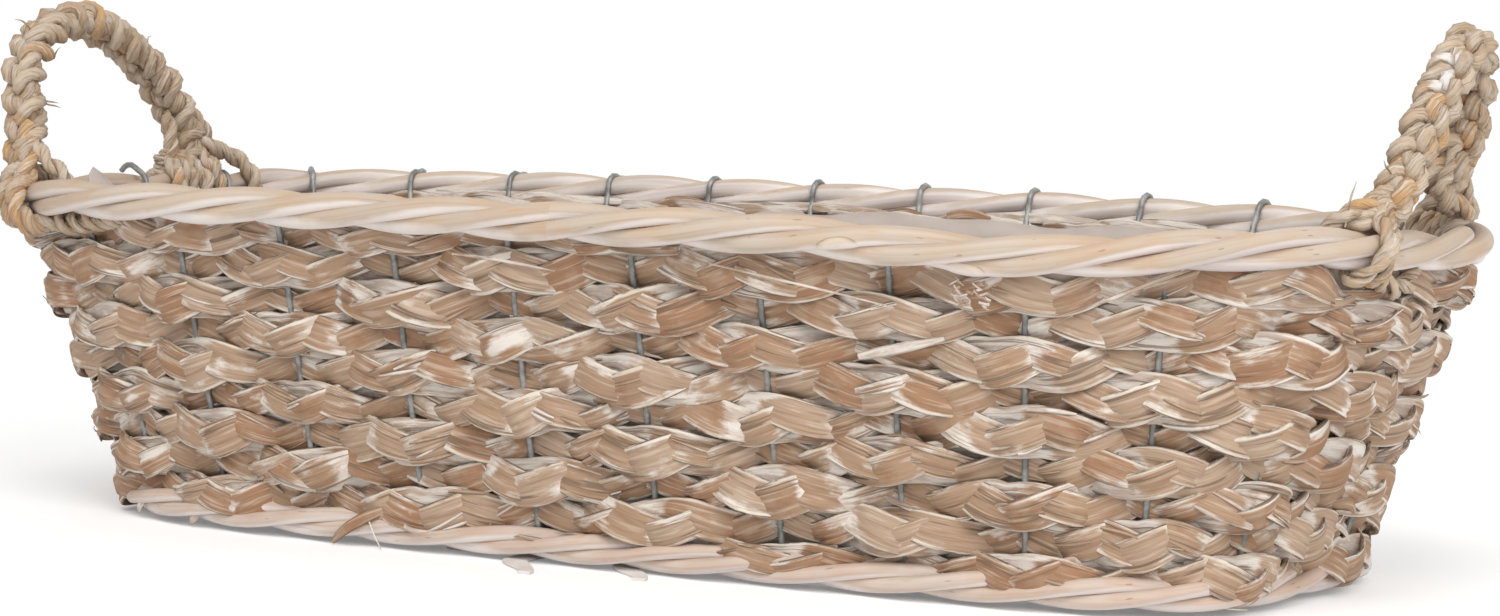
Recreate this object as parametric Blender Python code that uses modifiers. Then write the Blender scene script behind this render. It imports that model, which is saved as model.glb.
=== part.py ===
"""Planter basket: a wire and plait wall between two twisted willow rims, with a liner and two ear handles.

Metres, +Z up. The origin is under the middle of the basket, on the surface that it stands on.
The length runs along X, the front is at -Y. Places round the basket are given as a share of one turn,
counter-clockwise seen from above, starting at the middle of the front.
"""
import math

import bmesh
import bpy
import numpy as np
from mathutils import Matrix, Vector

# Outer sizes of the rim and of the base, before the lean out of square
RIM_LENGTH = 0.600
RIM_WIDTH = 0.240
RIM_HEIGHT = 0.1465
BASE_LENGTH = 0.520
BASE_WIDTH = 0.184

# How square the plan is (2 is an ellipse), and how far the hand-made basket leans out of square
RIM_LEFT_POWER = 5.1
RIM_RIGHT_POWER = 3.3
BASE_POWER = 5.0
SKEW = 0.20

# Twisted willow rods of the rim and of the base
ROPE_RODS = 3
RIM_ROD = 0.0070
BASE_ROD = 0.0056
RIM_TURNS = 10
BASE_TURNS = 10
RIM_PHASE = 0.217
BASE_PHASE = 0.177
ROPE_STEPS = 6

# Galvanised wire stakes, each hooked over the rim and bent in under the liner
STAKES = 27
STAKE_WIRE = 0.0026
STAKE_PHASE = 0.495
BACK_LAG_SHARE = 0.55
LAG_FROM_SHARE = 0.28
LAG_FULL_SHARE = 0.36
LAG_TO_SHARE = 0.76
BASE_FAN_SHARE = 0.0138
STAKE_FOOT = 0.014
STAKE_BEND = 0.004
HOOK_ANGLES = (180, 155, 130, 105, 80, 58)
HOOK_ROOM = 0.0006
STAKE_ROOM = 0.0009

# The leaf plait that winds up the wall, in front of one stake and behind the next
COURSES = 9
PLAIT_THICKNESS = 0.008
COURSE_GAP = 0.0018
PLAIT_ROOM = 0.0013
CLIMB_FROM = -0.175
CLIMB_TO = 0.175
TAIL_SHARE = 0.26
FOOT_DIP = 0.0058

# Floor of flat split canes with willow rods laid across them
CANES = 11
CANE_END_ROOM = 0.045
CANE_WIDTH = 0.011
CANE_THICKNESS = 0.0014
CANE_OVERHANG = 0.004
POKING_CANES = (3, 4)
FLOOR_RODS = 5
FLOOR_ROD = 0.005
FLOOR_ROD_SIDE_ROOM = 0.044
FLOOR_ROD_INSET = 0.026

# Plastic film liner
LINER_THICKNESS = 0.0006
LINER_DROP = 0.009
LINER_ROOM = 0.0022
LINER_POINTS = 60

# Braided ear handles, each looped round the rim in two of the gaps between stakes
HANDLE_HEIGHT = 0.077
HANDLE_WIDTH = 0.024
HANDLE_THICKNESS = 0.015
HANDLE_LEAN = math.radians(10)
HANDLE_POINTS = 21
HANDLE_ROOT_SHARE = 0.55
HANDLE_ROOT_HEIGHT = 0.0105
HANDLE_FULL_HEIGHT = 0.026
LEFT_GAPS = (-8, -6)
RIGHT_GAPS = (5, 7)
EYE_STRAND = 0.005
EYE_ROOM = 0.0010

# Gap that touching pieces keep
TOUCH = 0.0003

# Sizes that follow from the ones above
RING_SAMPLES = 1440


def rope_rod_radius(rod):
    """Distance of each rod's centre from the centre of a rope of three rods."""
    return (rod + TOUCH) / (2 * math.sin(math.pi / ROPE_RODS))


def rope_radius(rod):
    """Outer radius of a rope of three rods."""
    return rope_rod_radius(rod) + rod / 2


RIM_RADIUS = rope_radius(RIM_ROD)
BASE_RADIUS = rope_radius(BASE_ROD)
RIM_Z = RIM_HEIGHT - RIM_RADIUS
BASE_Z = CANE_THICKNESS + TOUCH + BASE_RADIUS
WIRE = STAKE_WIRE / 2
STAKE_FOOT_Z = CANE_THICKNESS + TOUCH + WIRE
FLOOR_ROD_Z = CANE_THICKNESS + TOUCH + FLOOR_ROD / 2
CANE_PITCH = (BASE_LENGTH - 2 * CANE_END_ROOM) / (CANES - 1)
FLOOR_ROD_PITCH = (BASE_WIDTH - 2 * FLOOR_ROD_SIDE_ROOM) / (FLOOR_RODS - 1)
RIM_INSET = RIM_RADIUS + WIRE + STAKE_ROOM
BASE_INSET = BASE_RADIUS + WIRE + STAKE_ROOM
PLAIT_BOTTOM = BASE_Z + BASE_RADIUS + TOUCH
PLAIT_TOP = RIM_Z - RIM_RADIUS - TOUCH
COURSE_PITCH = (PLAIT_TOP - PLAIT_BOTTOM) / COURSES
PLAIT_SWING = WIRE + PLAIT_ROOM + PLAIT_THICKNESS / 2
LINER_BOTTOM = CANE_THICKNESS + TOUCH + FLOOR_ROD + TOUCH
LINER_INSET = PLAIT_SWING + PLAIT_THICKNESS / 2 + LINER_ROOM
EYE_RADIUS = RIM_RADIUS + EYE_ROOM + EYE_STRAND / 2


class Ring:
    """A closed plan curve that is read by its share of one turn."""

    def __init__(self, length, width, left_power, right_power):
        angles = np.linspace(-0.5 * math.pi, 1.5 * math.pi, RING_SAMPLES + 1)
        across, along = np.sin(angles), np.cos(angles)
        power = np.where(along < 0, left_power, right_power)
        y = width / 2 * np.sign(across) * np.abs(across) ** (2 / power)
        x = length / 2 * np.sign(along) * np.abs(along) ** (2 / power) + SKEW * y
        self.x, self.y = x, y
        self.arc = np.concatenate([[0], np.cumsum(np.hypot(np.diff(x), np.diff(y)))])

    def point(self, share):
        """Point of the ring as a flat vector."""
        arc = (share % 1) * self.arc[-1]
        return Vector((np.interp(arc, self.arc, self.x), np.interp(arc, self.arc, self.y), 0))

    def tangent(self, share):
        """Direction of the ring, counter-clockwise."""
        step = 0.002
        return (self.point(share + step) - self.point(share - step)).normalized()

    def outward(self, share):
        """Flat direction that points out of the basket."""
        tangent = self.tangent(share)
        return Vector((tangent.y, -tangent.x, 0))


def rope_ring(length, width, radius, left_power, right_power):
    """Centre line of a rope whose outside has the given length and width."""
    return Ring(length - 2 * radius, width - 2 * radius, left_power, right_power)


RIM_RING = rope_ring(RIM_LENGTH, RIM_WIDTH, RIM_RADIUS, RIM_LEFT_POWER, RIM_RIGHT_POWER)
BASE_RING = rope_ring(BASE_LENGTH, BASE_WIDTH, BASE_RADIUS, BASE_POWER, BASE_POWER)


def smooth_step(value):
    """Ease from 0 to 1."""
    value = min(max(value, 0), 1)
    return value * value * (3 - 2 * value)


def even_share(index):
    """Share of a turn for a count of stakes when all of them are evenly spaced."""
    return (index + STAKE_PHASE) / STAKES


def stake_share(index):
    """Share of a turn at which a stake stands: those of the back stand a little further round."""
    share = even_share(index)
    place = share % 1
    grown = smooth_step((place - LAG_FROM_SHARE) / (LAG_FULL_SHARE - LAG_FROM_SHARE))
    left = min(max((LAG_TO_SHARE - place) / (LAG_TO_SHARE - LAG_FULL_SHARE), 0), 1)
    return share + BACK_LAG_SHARE / STAKES * grown * left


def base_share(share):
    """Share of the base's turn below a share of the rim's: upright along the sides, fanned at the ends."""
    return share + BASE_FAN_SHARE * math.sin(4 * math.pi * share)


def gap_share(index):
    """Share of a turn where a handle's foot stands, between a stake and the next one."""
    return even_share(index + 0.5)


def wall_point(share, height, offset=0.0):
    """Point of the stakes' surface at a height, moved outward by an offset."""
    below = base_share(share)
    low = BASE_RING.point(below) - BASE_RING.outward(below) * BASE_INSET
    high = RIM_RING.point(share) - RIM_RING.outward(share) * RIM_INSET
    rise = (height - BASE_Z) / (RIM_Z - BASE_Z)
    outward = BASE_RING.outward(below).lerp(RIM_RING.outward(share), min(max(rise, 0), 1))
    point = low.lerp(high, rise) + outward.normalized() * offset
    point.z = height
    return point


def wall_lean(share):
    """How far the wall leans out from upright."""
    run = wall_point(share, RIM_Z) - wall_point(share, BASE_Z)
    return math.atan2(run.dot(RIM_RING.outward(share)), run.z)


def rod_angle(turns, phase, share, rod):
    """Angle of one rod round the centre of its rope, from outward towards up."""
    return 2 * math.pi * (turns * share + phase + rod / ROPE_RODS)


def rope_point(ring, height, share, radius, angle):
    """Point beside the centre of a rope, at an angle from outward towards up."""
    point = ring.point(share) + ring.outward(share) * radius * math.cos(angle)
    point.z = height + radius * math.sin(angle)
    return point


def material(name, colour, roughness, metallic=0.0, alpha=1.0):
    """Principled material in the piece's plain colour."""
    made = bpy.data.materials.new(name)
    made.use_nodes = True
    shader = made.node_tree.nodes["Principled BSDF"]
    shader.inputs["Base Color"].default_value = (*colour, 1)
    shader.inputs["Roughness"].default_value = roughness
    shader.inputs["Metallic"].default_value = metallic
    shader.inputs["Alpha"].default_value = alpha
    return made


def collection(name):
    """New collection in the scene."""
    made = bpy.data.collections.new(name)
    bpy.context.scene.collection.children.link(made)
    return made


def hide_guide(thing):
    """Mark an object as a guide or a cutter, which isn't part of the model."""
    thing.hide_render = True
    thing.display_type = "WIRE"


def poly_curve(name, points, closed=False, radii=None, tilts=None):
    """Curve object through points, straight between them."""
    curve = bpy.data.curves.new(name, "CURVE")
    curve.dimensions = "3D"
    curve.use_fill_caps = True
    spline = curve.splines.new("POLY")
    spline.points.add(len(points) - 1)
    for index, (target, point) in enumerate(zip(spline.points, points)):
        target.co = (*point, 1)
        target.radius = radii[index] if radii else 1
        target.tilt = tilts[index] if tilts else 0
    spline.use_cyclic_u = closed
    return bpy.data.objects.new(name, curve)


def tube(name, points, diameter, finish, group, closed=False):
    """Round rod or wire along points."""
    made = poly_curve(name, points, closed)
    made.data.bevel_depth = diameter / 2
    made.data.bevel_resolution = 1
    made.data.materials.append(finish)
    group.objects.link(made)
    return made


def profile(name, outline, group):
    """Closed flat curve that a band is drawn along."""
    guide = poly_curve(name, [(x, y, 0) for x, y in outline], closed=True)
    guide.data.dimensions = "2D"
    guide.data.fill_mode = "NONE"
    group.objects.link(guide)
    hide_guide(guide)
    return guide


def band(name, points, radii, outline, finish, group, tilts=None):
    """Flat band along points, with the outline's height kept upright but for its tilt."""
    made = poly_curve(name, points, radii=radii, tilts=tilts)
    made.data.bevel_mode = "OBJECT"
    made.data.bevel_object = outline
    made.data.twist_mode = "Z_UP"
    made.data.materials.append(finish)
    group.objects.link(made)
    return made


def rope(name, ring, height, rod, turns, phase, place, finish, group):
    """Three rods twisted round each other along a closed ring, with a point of each beside every stake."""
    for number in range(ROPE_RODS):
        path = []
        for step in range(ROPE_STEPS * STAKES):
            share = place(stake_share(step / ROPE_STEPS))
            angle = rod_angle(turns, phase, share, number)
            path.append(rope_point(ring, height, share, rope_rod_radius(rod), angle))
        tube(f"{name}_rod_{number + 1}", path, rod, finish, group, closed=True)


def hook_radius(share, angle):
    """How near the wire of a hook comes to the rim's centre without touching a rod."""
    reach = RIM_ROD / 2 + WIRE + HOOK_ROOM
    centre = rope_rod_radius(RIM_ROD)
    nearest = 0
    for rod in range(ROPE_RODS):
        turned = angle - rod_angle(RIM_TURNS, RIM_PHASE, share, rod)
        under_root = reach ** 2 - (centre * math.sin(turned)) ** 2
        if under_root > 0:
            nearest = max(nearest, centre * math.cos(turned) + math.sqrt(under_root))
    return nearest


def stake_path(share):
    """Wire from its foot on the floor up the wall and over the rim."""
    inward = BASE_RING.outward(base_share(share)) * -1
    corner = wall_point(share, STAKE_FOOT_Z)
    path = [corner + inward * STAKE_FOOT, corner + inward * STAKE_BEND]
    path.append(wall_point(share, STAKE_FOOT_Z + STAKE_BEND))
    path.append(wall_point(share, (BASE_Z + RIM_Z) / 2))
    path.append(wall_point(share, RIM_Z - RIM_RADIUS))
    for degrees in HOOK_ANGLES:
        angle = math.radians(degrees)
        path.append(rope_point(RIM_RING, RIM_Z, share, hook_radius(share, angle), angle))
    return path


def make_stakes(finish, group):
    """All the wire stakes."""
    for index in range(STAKES):
        tube(f"stake_{index + 1:02d}", stake_path(stake_share(index)), STAKE_WIRE, finish, group)


def foot_dip(share):
    """How far the top course is pushed down where a handle's eye goes under the rim."""
    for gap in LEFT_GAPS + RIGHT_GAPS:
        away = abs((share - gap_share(gap) + 0.5) % 1 - 0.5) * STAKES
        if away < 0.25:
            return FOOT_DIP
    return 0


def course_edges(turn):
    """Lower and upper edge of the plait at a count of turns from its start."""
    share = turn - math.floor(turn - CLIMB_FROM)
    climbed = smooth_step((share - CLIMB_FROM) / (CLIMB_TO - CLIMB_FROM))
    below = math.floor(turn - CLIMB_FROM) - 1 + climbed
    low = PLAIT_BOTTOM + max(below, 0) * COURSE_PITCH + COURSE_GAP / 2
    high = PLAIT_BOTTOM + min(below + 1, COURSES) * COURSE_PITCH - COURSE_GAP / 2
    high = min(high, PLAIT_TOP - foot_dip(turn) - COURSE_GAP / 2)
    return low, high


def make_plait(finish, group, guides):
    """The whole plait as one band: it climbs one course each time it crosses the front."""
    full = COURSE_PITCH - COURSE_GAP
    half, thick = full / 2, PLAIT_THICKNESS / 2
    outline = [(thick, half), (thick, -half), (-thick, -half), (-thick, half)]
    path, radii, tilts = [], [], []
    steps = 2 * STAKES
    first = math.floor((CLIMB_FROM - STAKE_PHASE / STAKES) * steps)
    last = math.ceil((COURSES + CLIMB_TO) * steps)
    for step in range(first, last + 1):
        turn = stake_share(step / 2)
        low, high = course_edges(turn)
        if not CLIMB_FROM <= turn <= COURSES + CLIMB_TO or high - low < TAIL_SHARE * full:
            continue
        lean = wall_lean(turn)
        swing = -PLAIT_SWING / math.cos(lean) * math.cos(math.pi * step / 2)
        path.append(wall_point(turn, (low + high) / 2, swing))
        radii.append((high - low) / full)
        tilts.append(lean)
    section = profile("plait_section", outline, guides)
    return band("wall_plait", path, radii, section, finish, group, tilts)


def make_liner(finish, group):
    """Open tub of film: the outside of its wall and floor, thickened inward."""
    mesh = bmesh.new()
    levels = (LINER_BOTTOM, RIM_HEIGHT - LINER_DROP)
    loops = []
    for height in levels:
        around = [wall_point(step / LINER_POINTS, height, -LINER_INSET) for step in range(LINER_POINTS)]
        loops.append([mesh.verts.new(point) for point in around])
    edges = [[mesh.edges.new((loop[i - 1], loop[i])) for i in range(LINER_POINTS)] for loop in loops]
    bmesh.ops.bridge_loops(mesh, edges=edges[0] + edges[1])
    bmesh.ops.contextual_create(mesh, geom=edges[0])
    bmesh.ops.recalc_face_normals(mesh, faces=mesh.faces)
    data = bpy.data.meshes.new("liner")
    mesh.to_mesh(data)
    mesh.free()
    made = bpy.data.objects.new("liner", data)
    data.materials.append(finish)
    group.objects.link(made)
    shell = made.modifiers.new("film", "SOLIDIFY")
    shell.thickness = LINER_THICKNESS
    shell.offset = -1
    shell.use_even_offset = True
    return made


def base_edges(x):
    """Front and back edge of the base's centre line at a place along the length."""
    half = RING_SAMPLES // 2
    right, left = slice(0, half + 1), slice(half, None)
    ring = BASE_RING
    front, back = [], []
    for side in (right, left):
        xs, ys = ring.x[side], ring.y[side]
        crossings = np.where(np.diff(np.sign(xs - x)) != 0)[0]
        for index in crossings:
            y = ys[index] + (x - xs[index]) / (xs[index + 1] - xs[index]) * (ys[index + 1] - ys[index])
            (front if y < 0 else back).append(y)
    return min(front), max(back)


def make_canes(finish, group):
    """Flat split canes across the floor, under the base rods; two of them stick out at the front."""
    for index in range(CANES):
        x = (index - (CANES - 1) / 2) * CANE_PITCH
        front, back = base_edges(x)
        if index in POKING_CANES:
            front -= BASE_RADIUS + CANE_OVERHANG
        bpy.ops.mesh.primitive_cube_add(size=1, location=(x, (front + back) / 2, CANE_THICKNESS / 2))
        made = bpy.context.active_object
        made.name = f"floor_cane_{index + 1:02d}"
        made.data.transform(Matrix.Diagonal((CANE_WIDTH, back - front, CANE_THICKNESS, 1)))
        made.data.materials.append(finish)
        for owner in list(made.users_collection):
            owner.objects.unlink(made)
        group.objects.link(made)


def make_floor_rods(finish, group):
    """Willow rods laid lengthwise on the canes."""
    for index in range(FLOOR_RODS):
        y = (index - (FLOOR_RODS - 1) / 2) * FLOOR_ROD_PITCH
        reach = BASE_LENGTH / 2 - BASE_RADIUS - BASE_INSET - FLOOR_ROD_INSET
        ends = [Vector((side * reach + SKEW * y, y, FLOOR_ROD_Z)) for side in (-1, 1)]
        tube(f"floor_rod_{index + 1}", ends, FLOOR_ROD, finish, group)


def handle_frame(gaps):
    """Placement of a handle: X along its hinge, Y up the leaning arch, Z out of its plane."""
    feet = []
    for gap in gaps:
        foot = RIM_RING.point(gap_share(gap))
        foot.z = RIM_Z
        feet.append(foot)
    middle = (feet[0] + feet[1]) / 2
    hinge = (feet[1] - feet[0]).normalized()
    away = hinge.cross(Vector((0, 0, 1)))
    up = Vector((0, 0, 1)) * math.cos(HANDLE_LEAN) + away * math.sin(HANDLE_LEAN)
    turn = Matrix((hinge, up, hinge.cross(up))).transposed().to_4x4()
    return Matrix.Translation(middle) @ turn, (feet[1] - feet[0]).length / 2


def curve_to_mesh(curve_object):
    """Mesh object in the place of a curve object, with its caps welded on."""
    graph = bpy.context.evaluated_depsgraph_get()
    data = bpy.data.meshes.new_from_object(curve_object.evaluated_get(graph))
    mesh = bmesh.new()
    mesh.from_mesh(data)
    bmesh.ops.remove_doubles(mesh, verts=mesh.verts, dist=0.00001)
    bmesh.ops.recalc_face_normals(mesh, faces=mesh.faces)
    mesh.to_mesh(data)
    mesh.free()
    made = bpy.data.objects.new(curve_object.name + "_mesh", data)
    made.matrix_world = curve_object.matrix_world
    for owner in curve_object.users_collection:
        owner.objects.link(made)
    name = curve_object.name
    bpy.data.objects.remove(curve_object)
    made.name = name
    return made


def make_handle(name, gaps, finish, group, guides):
    """Braided arch with an eye at each foot that goes round the rim."""
    placement, half_span = handle_frame(gaps)
    start = math.asin(HANDLE_ROOT_HEIGHT / HANDLE_HEIGHT)
    path, radii = [], []
    for step in range(HANDLE_POINTS):
        angle = start + (math.pi - 2 * start) * step / (HANDLE_POINTS - 1)
        height = HANDLE_HEIGHT * math.sin(angle)
        grown = smooth_step((height - HANDLE_ROOT_HEIGHT) / (HANDLE_FULL_HEIGHT - HANDLE_ROOT_HEIGHT))
        path.append(Vector((-half_span * math.cos(angle), height, 0)))
        radii.append(HANDLE_ROOT_SHARE + (1 - HANDLE_ROOT_SHARE) * grown)
    outline = []
    for corner in range(8):
        angle = 2 * math.pi * (corner + 0.5) / 8
        outline.append((HANDLE_THICKNESS / 2 * math.cos(angle), HANDLE_WIDTH / 2 * math.sin(angle)))
    arch = band(name, path, radii, profile(name + "_section", outline, guides), finish, group)
    arch.matrix_world = placement
    bpy.context.view_layer.update()
    arch = curve_to_mesh(arch)
    for number, gap in enumerate(gaps):
        share = gap_share(gap)
        centre = RIM_RING.point(share)
        centre.z = RIM_Z
        turn = Vector((0, 0, 1)).rotation_difference(RIM_RING.tangent(share)).to_matrix().to_4x4()
        bpy.ops.mesh.primitive_torus_add(
            major_segments=16, minor_segments=6, major_radius=EYE_RADIUS, minor_radius=EYE_STRAND / 2)
        eye = bpy.context.active_object
        eye.name = f"{name}_eye_{number + 1}"
        eye.matrix_world = Matrix.Translation(centre) @ turn
        for owner in list(eye.users_collection):
            owner.objects.unlink(eye)
        guides.objects.link(eye)
        hide_guide(eye)
        join = arch.modifiers.new(f"eye_{number + 1}", "BOOLEAN")
        join.operation = "UNION"
        join.object = eye
    return arch


def smooth(thing):
    """Shade a round piece smooth, with its real edges kept sharp."""
    if thing.type == "MESH":
        thing.data.shade_smooth()
        thing.data.set_sharp_from_angle(angle=math.radians(50))


def centre_on_origin(groups):
    """Shift every object so that the basket's outer box stands centred on the origin."""
    bpy.context.view_layer.update()
    graph = bpy.context.evaluated_depsgraph_get()
    places = []
    for thing in groups[0].objects:
        shown = thing.evaluated_get(graph)
        places += [shown.matrix_world @ vertex.co for vertex in shown.to_mesh().vertices]
        shown.to_mesh_clear()
    for axis in (0, 1):
        reach = [place[axis] for place in places]
        shift = (min(reach) + max(reach)) / 2
        for group in groups:
            for thing in group.objects:
                thing.location[axis] -= shift


def main():
    """Build the basket."""
    for old in list(bpy.data.objects):
        bpy.data.objects.remove(old)
    basket = collection("planter_basket")
    guides = collection("guides")
    willow = material("whitewashed_willow", (0.66, 0.52, 0.38), 0.65)
    wire = material("galvanised_wire", (0.42, 0.42, 0.40), 0.45, metallic=1.0)
    leaf = material("whitewashed_leaf_plait", (0.50, 0.38, 0.28), 0.75)
    grass = material("seagrass_braid", (0.52, 0.42, 0.29), 0.8)
    cane = material("split_cane", (0.74, 0.70, 0.62), 0.6)
    film = material("liner_film", (0.72, 0.73, 0.72), 0.35, alpha=0.5)

    rope("rim", RIM_RING, RIM_Z, RIM_ROD, RIM_TURNS, RIM_PHASE, float, willow, basket)
    rope("base", BASE_RING, BASE_Z, BASE_ROD, BASE_TURNS, BASE_PHASE, base_share, willow, basket)
    make_stakes(wire, basket)
    make_plait(leaf, basket, guides)
    make_liner(film, basket)
    make_canes(cane, basket)
    make_floor_rods(willow, basket)
    for name, gaps in (("handle_left", LEFT_GAPS), ("handle_right", RIGHT_GAPS)):
        smooth(make_handle(name, gaps, grass, basket, guides))
    centre_on_origin((basket, guides))


main()
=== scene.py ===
# %% [markdown]
# A planter basket, dressed for a photograph.
#
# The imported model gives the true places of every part: a twisted willow rim, a twisted base rope, wire
# stakes, a leaf plait that winds up the wall, a film liner, a cane floor and two braided ear handles.
# This lesson loads that frame and then replaces each plain solid by a piece with the detail of the real
# material.

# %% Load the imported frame
import math

import bmesh
import bpy
import numpy as np
from mathutils import Matrix, Vector


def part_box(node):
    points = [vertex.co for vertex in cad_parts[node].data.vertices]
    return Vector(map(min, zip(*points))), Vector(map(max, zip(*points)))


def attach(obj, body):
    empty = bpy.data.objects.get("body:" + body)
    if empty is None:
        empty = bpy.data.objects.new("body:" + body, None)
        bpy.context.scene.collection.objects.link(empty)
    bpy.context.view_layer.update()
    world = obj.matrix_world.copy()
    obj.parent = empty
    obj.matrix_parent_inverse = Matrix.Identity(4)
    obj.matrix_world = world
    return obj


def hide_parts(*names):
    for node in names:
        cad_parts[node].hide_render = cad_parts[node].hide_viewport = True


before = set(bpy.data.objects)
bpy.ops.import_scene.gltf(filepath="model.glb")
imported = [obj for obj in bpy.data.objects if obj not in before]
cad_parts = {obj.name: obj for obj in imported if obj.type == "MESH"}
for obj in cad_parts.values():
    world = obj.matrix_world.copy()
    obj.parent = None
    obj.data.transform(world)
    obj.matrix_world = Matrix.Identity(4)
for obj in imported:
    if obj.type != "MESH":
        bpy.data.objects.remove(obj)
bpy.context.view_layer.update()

# %% [markdown]
# The basket's plan is a rounded oblong that leans a little out of square, as hand-made ones do. A curve
# could be drawn for it, but a formula can be asked for any place. So a ring is read by its share of one
# turn, counter-clockwise from the middle of the front, and a wire, a rod and the plait can all be given
# the same place round the basket.

# %% Rings of the rim and of the base
SKEW = 0.20
CENTRE_SHIFT = np.array([0.001275, -0.000023])
RING_SAMPLES = 1440


class Ring:
    """A closed plan curve that is read by its share of one turn."""

    def __init__(self, length, width, left_power, right_power):
        angles = np.linspace(-0.5 * math.pi, 1.5 * math.pi, RING_SAMPLES + 1)
        across, along = np.sin(angles), np.cos(angles)
        power = np.where(along < 0, left_power, right_power)
        self.y = width / 2 * np.sign(across) * np.abs(across) ** (2 / power)
        self.x = length / 2 * np.sign(along) * np.abs(along) ** (2 / power) + SKEW * self.y
        self.arc = np.concatenate([[0], np.cumsum(np.hypot(np.diff(self.x), np.diff(self.y)))])

    def point(self, share):
        """Flat points of the ring."""
        arc = np.mod(share, 1) * self.arc[-1]
        return np.stack([np.interp(arc, self.arc, self.x), np.interp(arc, self.arc, self.y)], axis=-1)

    def outward(self, share):
        """Flat directions that point out of the basket."""
        step = 0.002
        tangent = self.point(share + step) - self.point(share - step)
        tangent /= np.linalg.norm(tangent, axis=-1, keepdims=True)
        return np.stack([tangent[..., 1], -tangent[..., 0]], axis=-1)


ROPE_RODS = 3
RIM_ROD, BASE_ROD = 0.0070, 0.0056
TOUCH = 0.0003
CANE_THICKNESS = 0.0014
RIM_HEIGHT = 0.1465
RIM_LENGTH, RIM_WIDTH = 0.600, 0.240
BASE_LENGTH, BASE_WIDTH = 0.520, 0.184
RIM_SQUARENESS, BASE_SQUARENESS = (5.1, 3.3), (5.0, 5.0)


def rod_circle(rod):
    """Distance of each rod's centre from the centre of a rope of three rods."""
    return (rod + TOUCH) / (2 * math.sin(math.pi / ROPE_RODS))


RIM_RADIUS = rod_circle(RIM_ROD) + RIM_ROD / 2
BASE_RADIUS = rod_circle(BASE_ROD) + BASE_ROD / 2
RIM_Z = RIM_HEIGHT - RIM_RADIUS
BASE_Z = CANE_THICKNESS + TOUCH + BASE_RADIUS
RIM_RING = Ring(RIM_LENGTH - 2 * RIM_RADIUS, RIM_WIDTH - 2 * RIM_RADIUS, *RIM_SQUARENESS)
BASE_RING = Ring(BASE_LENGTH - 2 * BASE_RADIUS, BASE_WIDTH - 2 * BASE_RADIUS, *BASE_SQUARENESS)
print("rim", round(RIM_RING.arc[-1], 4), "m round, base", round(BASE_RING.arc[-1], 4), "m round")

# %% [markdown]
# The 27 wire stakes are evenly spaced along the front. Those of the back stand half a step further round,
# and the feet are spread so that the wires of the long sides stand upright while those of the ends fan
# out. The wall is the slanting surface through all of the wires. It is worked out and not modelled,
# because what is woven on it only needs its places and directions.

# %% Places of the stakes and of the wall
STAKES = 27
STAKE_PHASE = 0.495
BACK_LAG = 0.55
LAG_FROM, LAG_FULL, LAG_TO = 0.28, 0.36, 0.76
BASE_FAN = 0.0138
WIRE = 0.0013
STAKE_ROOM = 0.0009
RIM_INSET = RIM_RADIUS + WIRE + STAKE_ROOM
BASE_INSET = 0.0060
BASE_TUCK = 0.0015
MIDDLE_HEIGHT = 0.07
UPWARD = np.array([0, 0, 1.0])


def ease(value):
    """Smooth step from 0 to 1."""
    value = np.clip(value, 0, 1)
    return value * value * (3 - 2 * value)


def even_share(index):
    """Share of a turn for a count of stakes when all of them are evenly spaced."""
    return (np.asarray(index, float) + STAKE_PHASE) / STAKES


def stake_share(index):
    """Share of a turn at which a stake stands."""
    share = even_share(index)
    place = np.mod(share, 1)
    grown = ease((place - LAG_FROM) / (LAG_FULL - LAG_FROM))
    left = np.clip((LAG_TO - place) / (LAG_TO - LAG_FULL), 0, 1)
    return share + BACK_LAG / STAKES * grown * left


def base_share(share):
    """Share of the base's turn below a share of the rim's."""
    return share + BASE_FAN * np.sin(4 * math.pi * share)


def unit(vectors):
    """Vectors of length 1."""
    return vectors / np.linalg.norm(vectors, axis=-1, keepdims=True)


def wall_frame(share, height):
    """Points of the wires' surface, with the directions out of it and up along it."""
    share, height = np.broadcast_arrays(np.asarray(share, float), np.asarray(height, float))
    below = base_share(share)
    low = BASE_RING.point(below) - BASE_RING.outward(below) * BASE_INSET
    high = RIM_RING.point(share) - RIM_RING.outward(share) * RIM_INSET
    rise = ((height - BASE_Z) / (RIM_Z - BASE_Z))[..., None]
    flat = low + (high - low) * rise
    run = np.concatenate([high - low, np.full(share.shape + (1,), RIM_Z - BASE_Z)], axis=-1)
    outward = unit(BASE_RING.outward(below) * (1 - rise) + RIM_RING.outward(share) * rise)
    up = unit(run)
    out = np.concatenate([outward, np.zeros(share.shape + (1,))], axis=-1)
    out = unit(out - up * np.sum(out * up, axis=-1, keepdims=True))
    point = np.concatenate([flat, height[..., None]], axis=-1)
    return point, out, up


def wall_point(share, height, offset=0.0):
    """Points beside the wires' surface, moved level outward by an offset."""
    point, out = wall_frame(share, height)[:2]
    flat = np.concatenate([unit(out[..., :2]), np.zeros(out.shape[:-1] + (1,))], axis=-1)
    return point + flat * np.asarray(offset, float)[..., None]


print("front wires near x =", np.round(wall_point(stake_share(np.arange(-5, 8)), MIDDLE_HEIGHT)[:, 0], 3))

# %% [markdown]
# The real rim isn't quite level. Both its ends hang a little, its front dips right of the middle and
# lifts again near the right corner, and the ends of the base curl up. A lattice could bend the finished
# model, but a formula bends every piece while it is made, so that all of them stay together. Each dip is
# given by its depth, its middle along the basket and its reach.

# %% The gentle bow of the whole basket
FRONT_DIPS = ((0.0050, 0.160, 0.060), (0.0009, -0.020, 0.100), (-0.0026, 0.272, 0.045))
FRONT_DEPTH = 0.09
RIM_DROOP, RIM_LIFT = 0.0024, 0.0008
BASE_CURL = 0.0013


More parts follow.
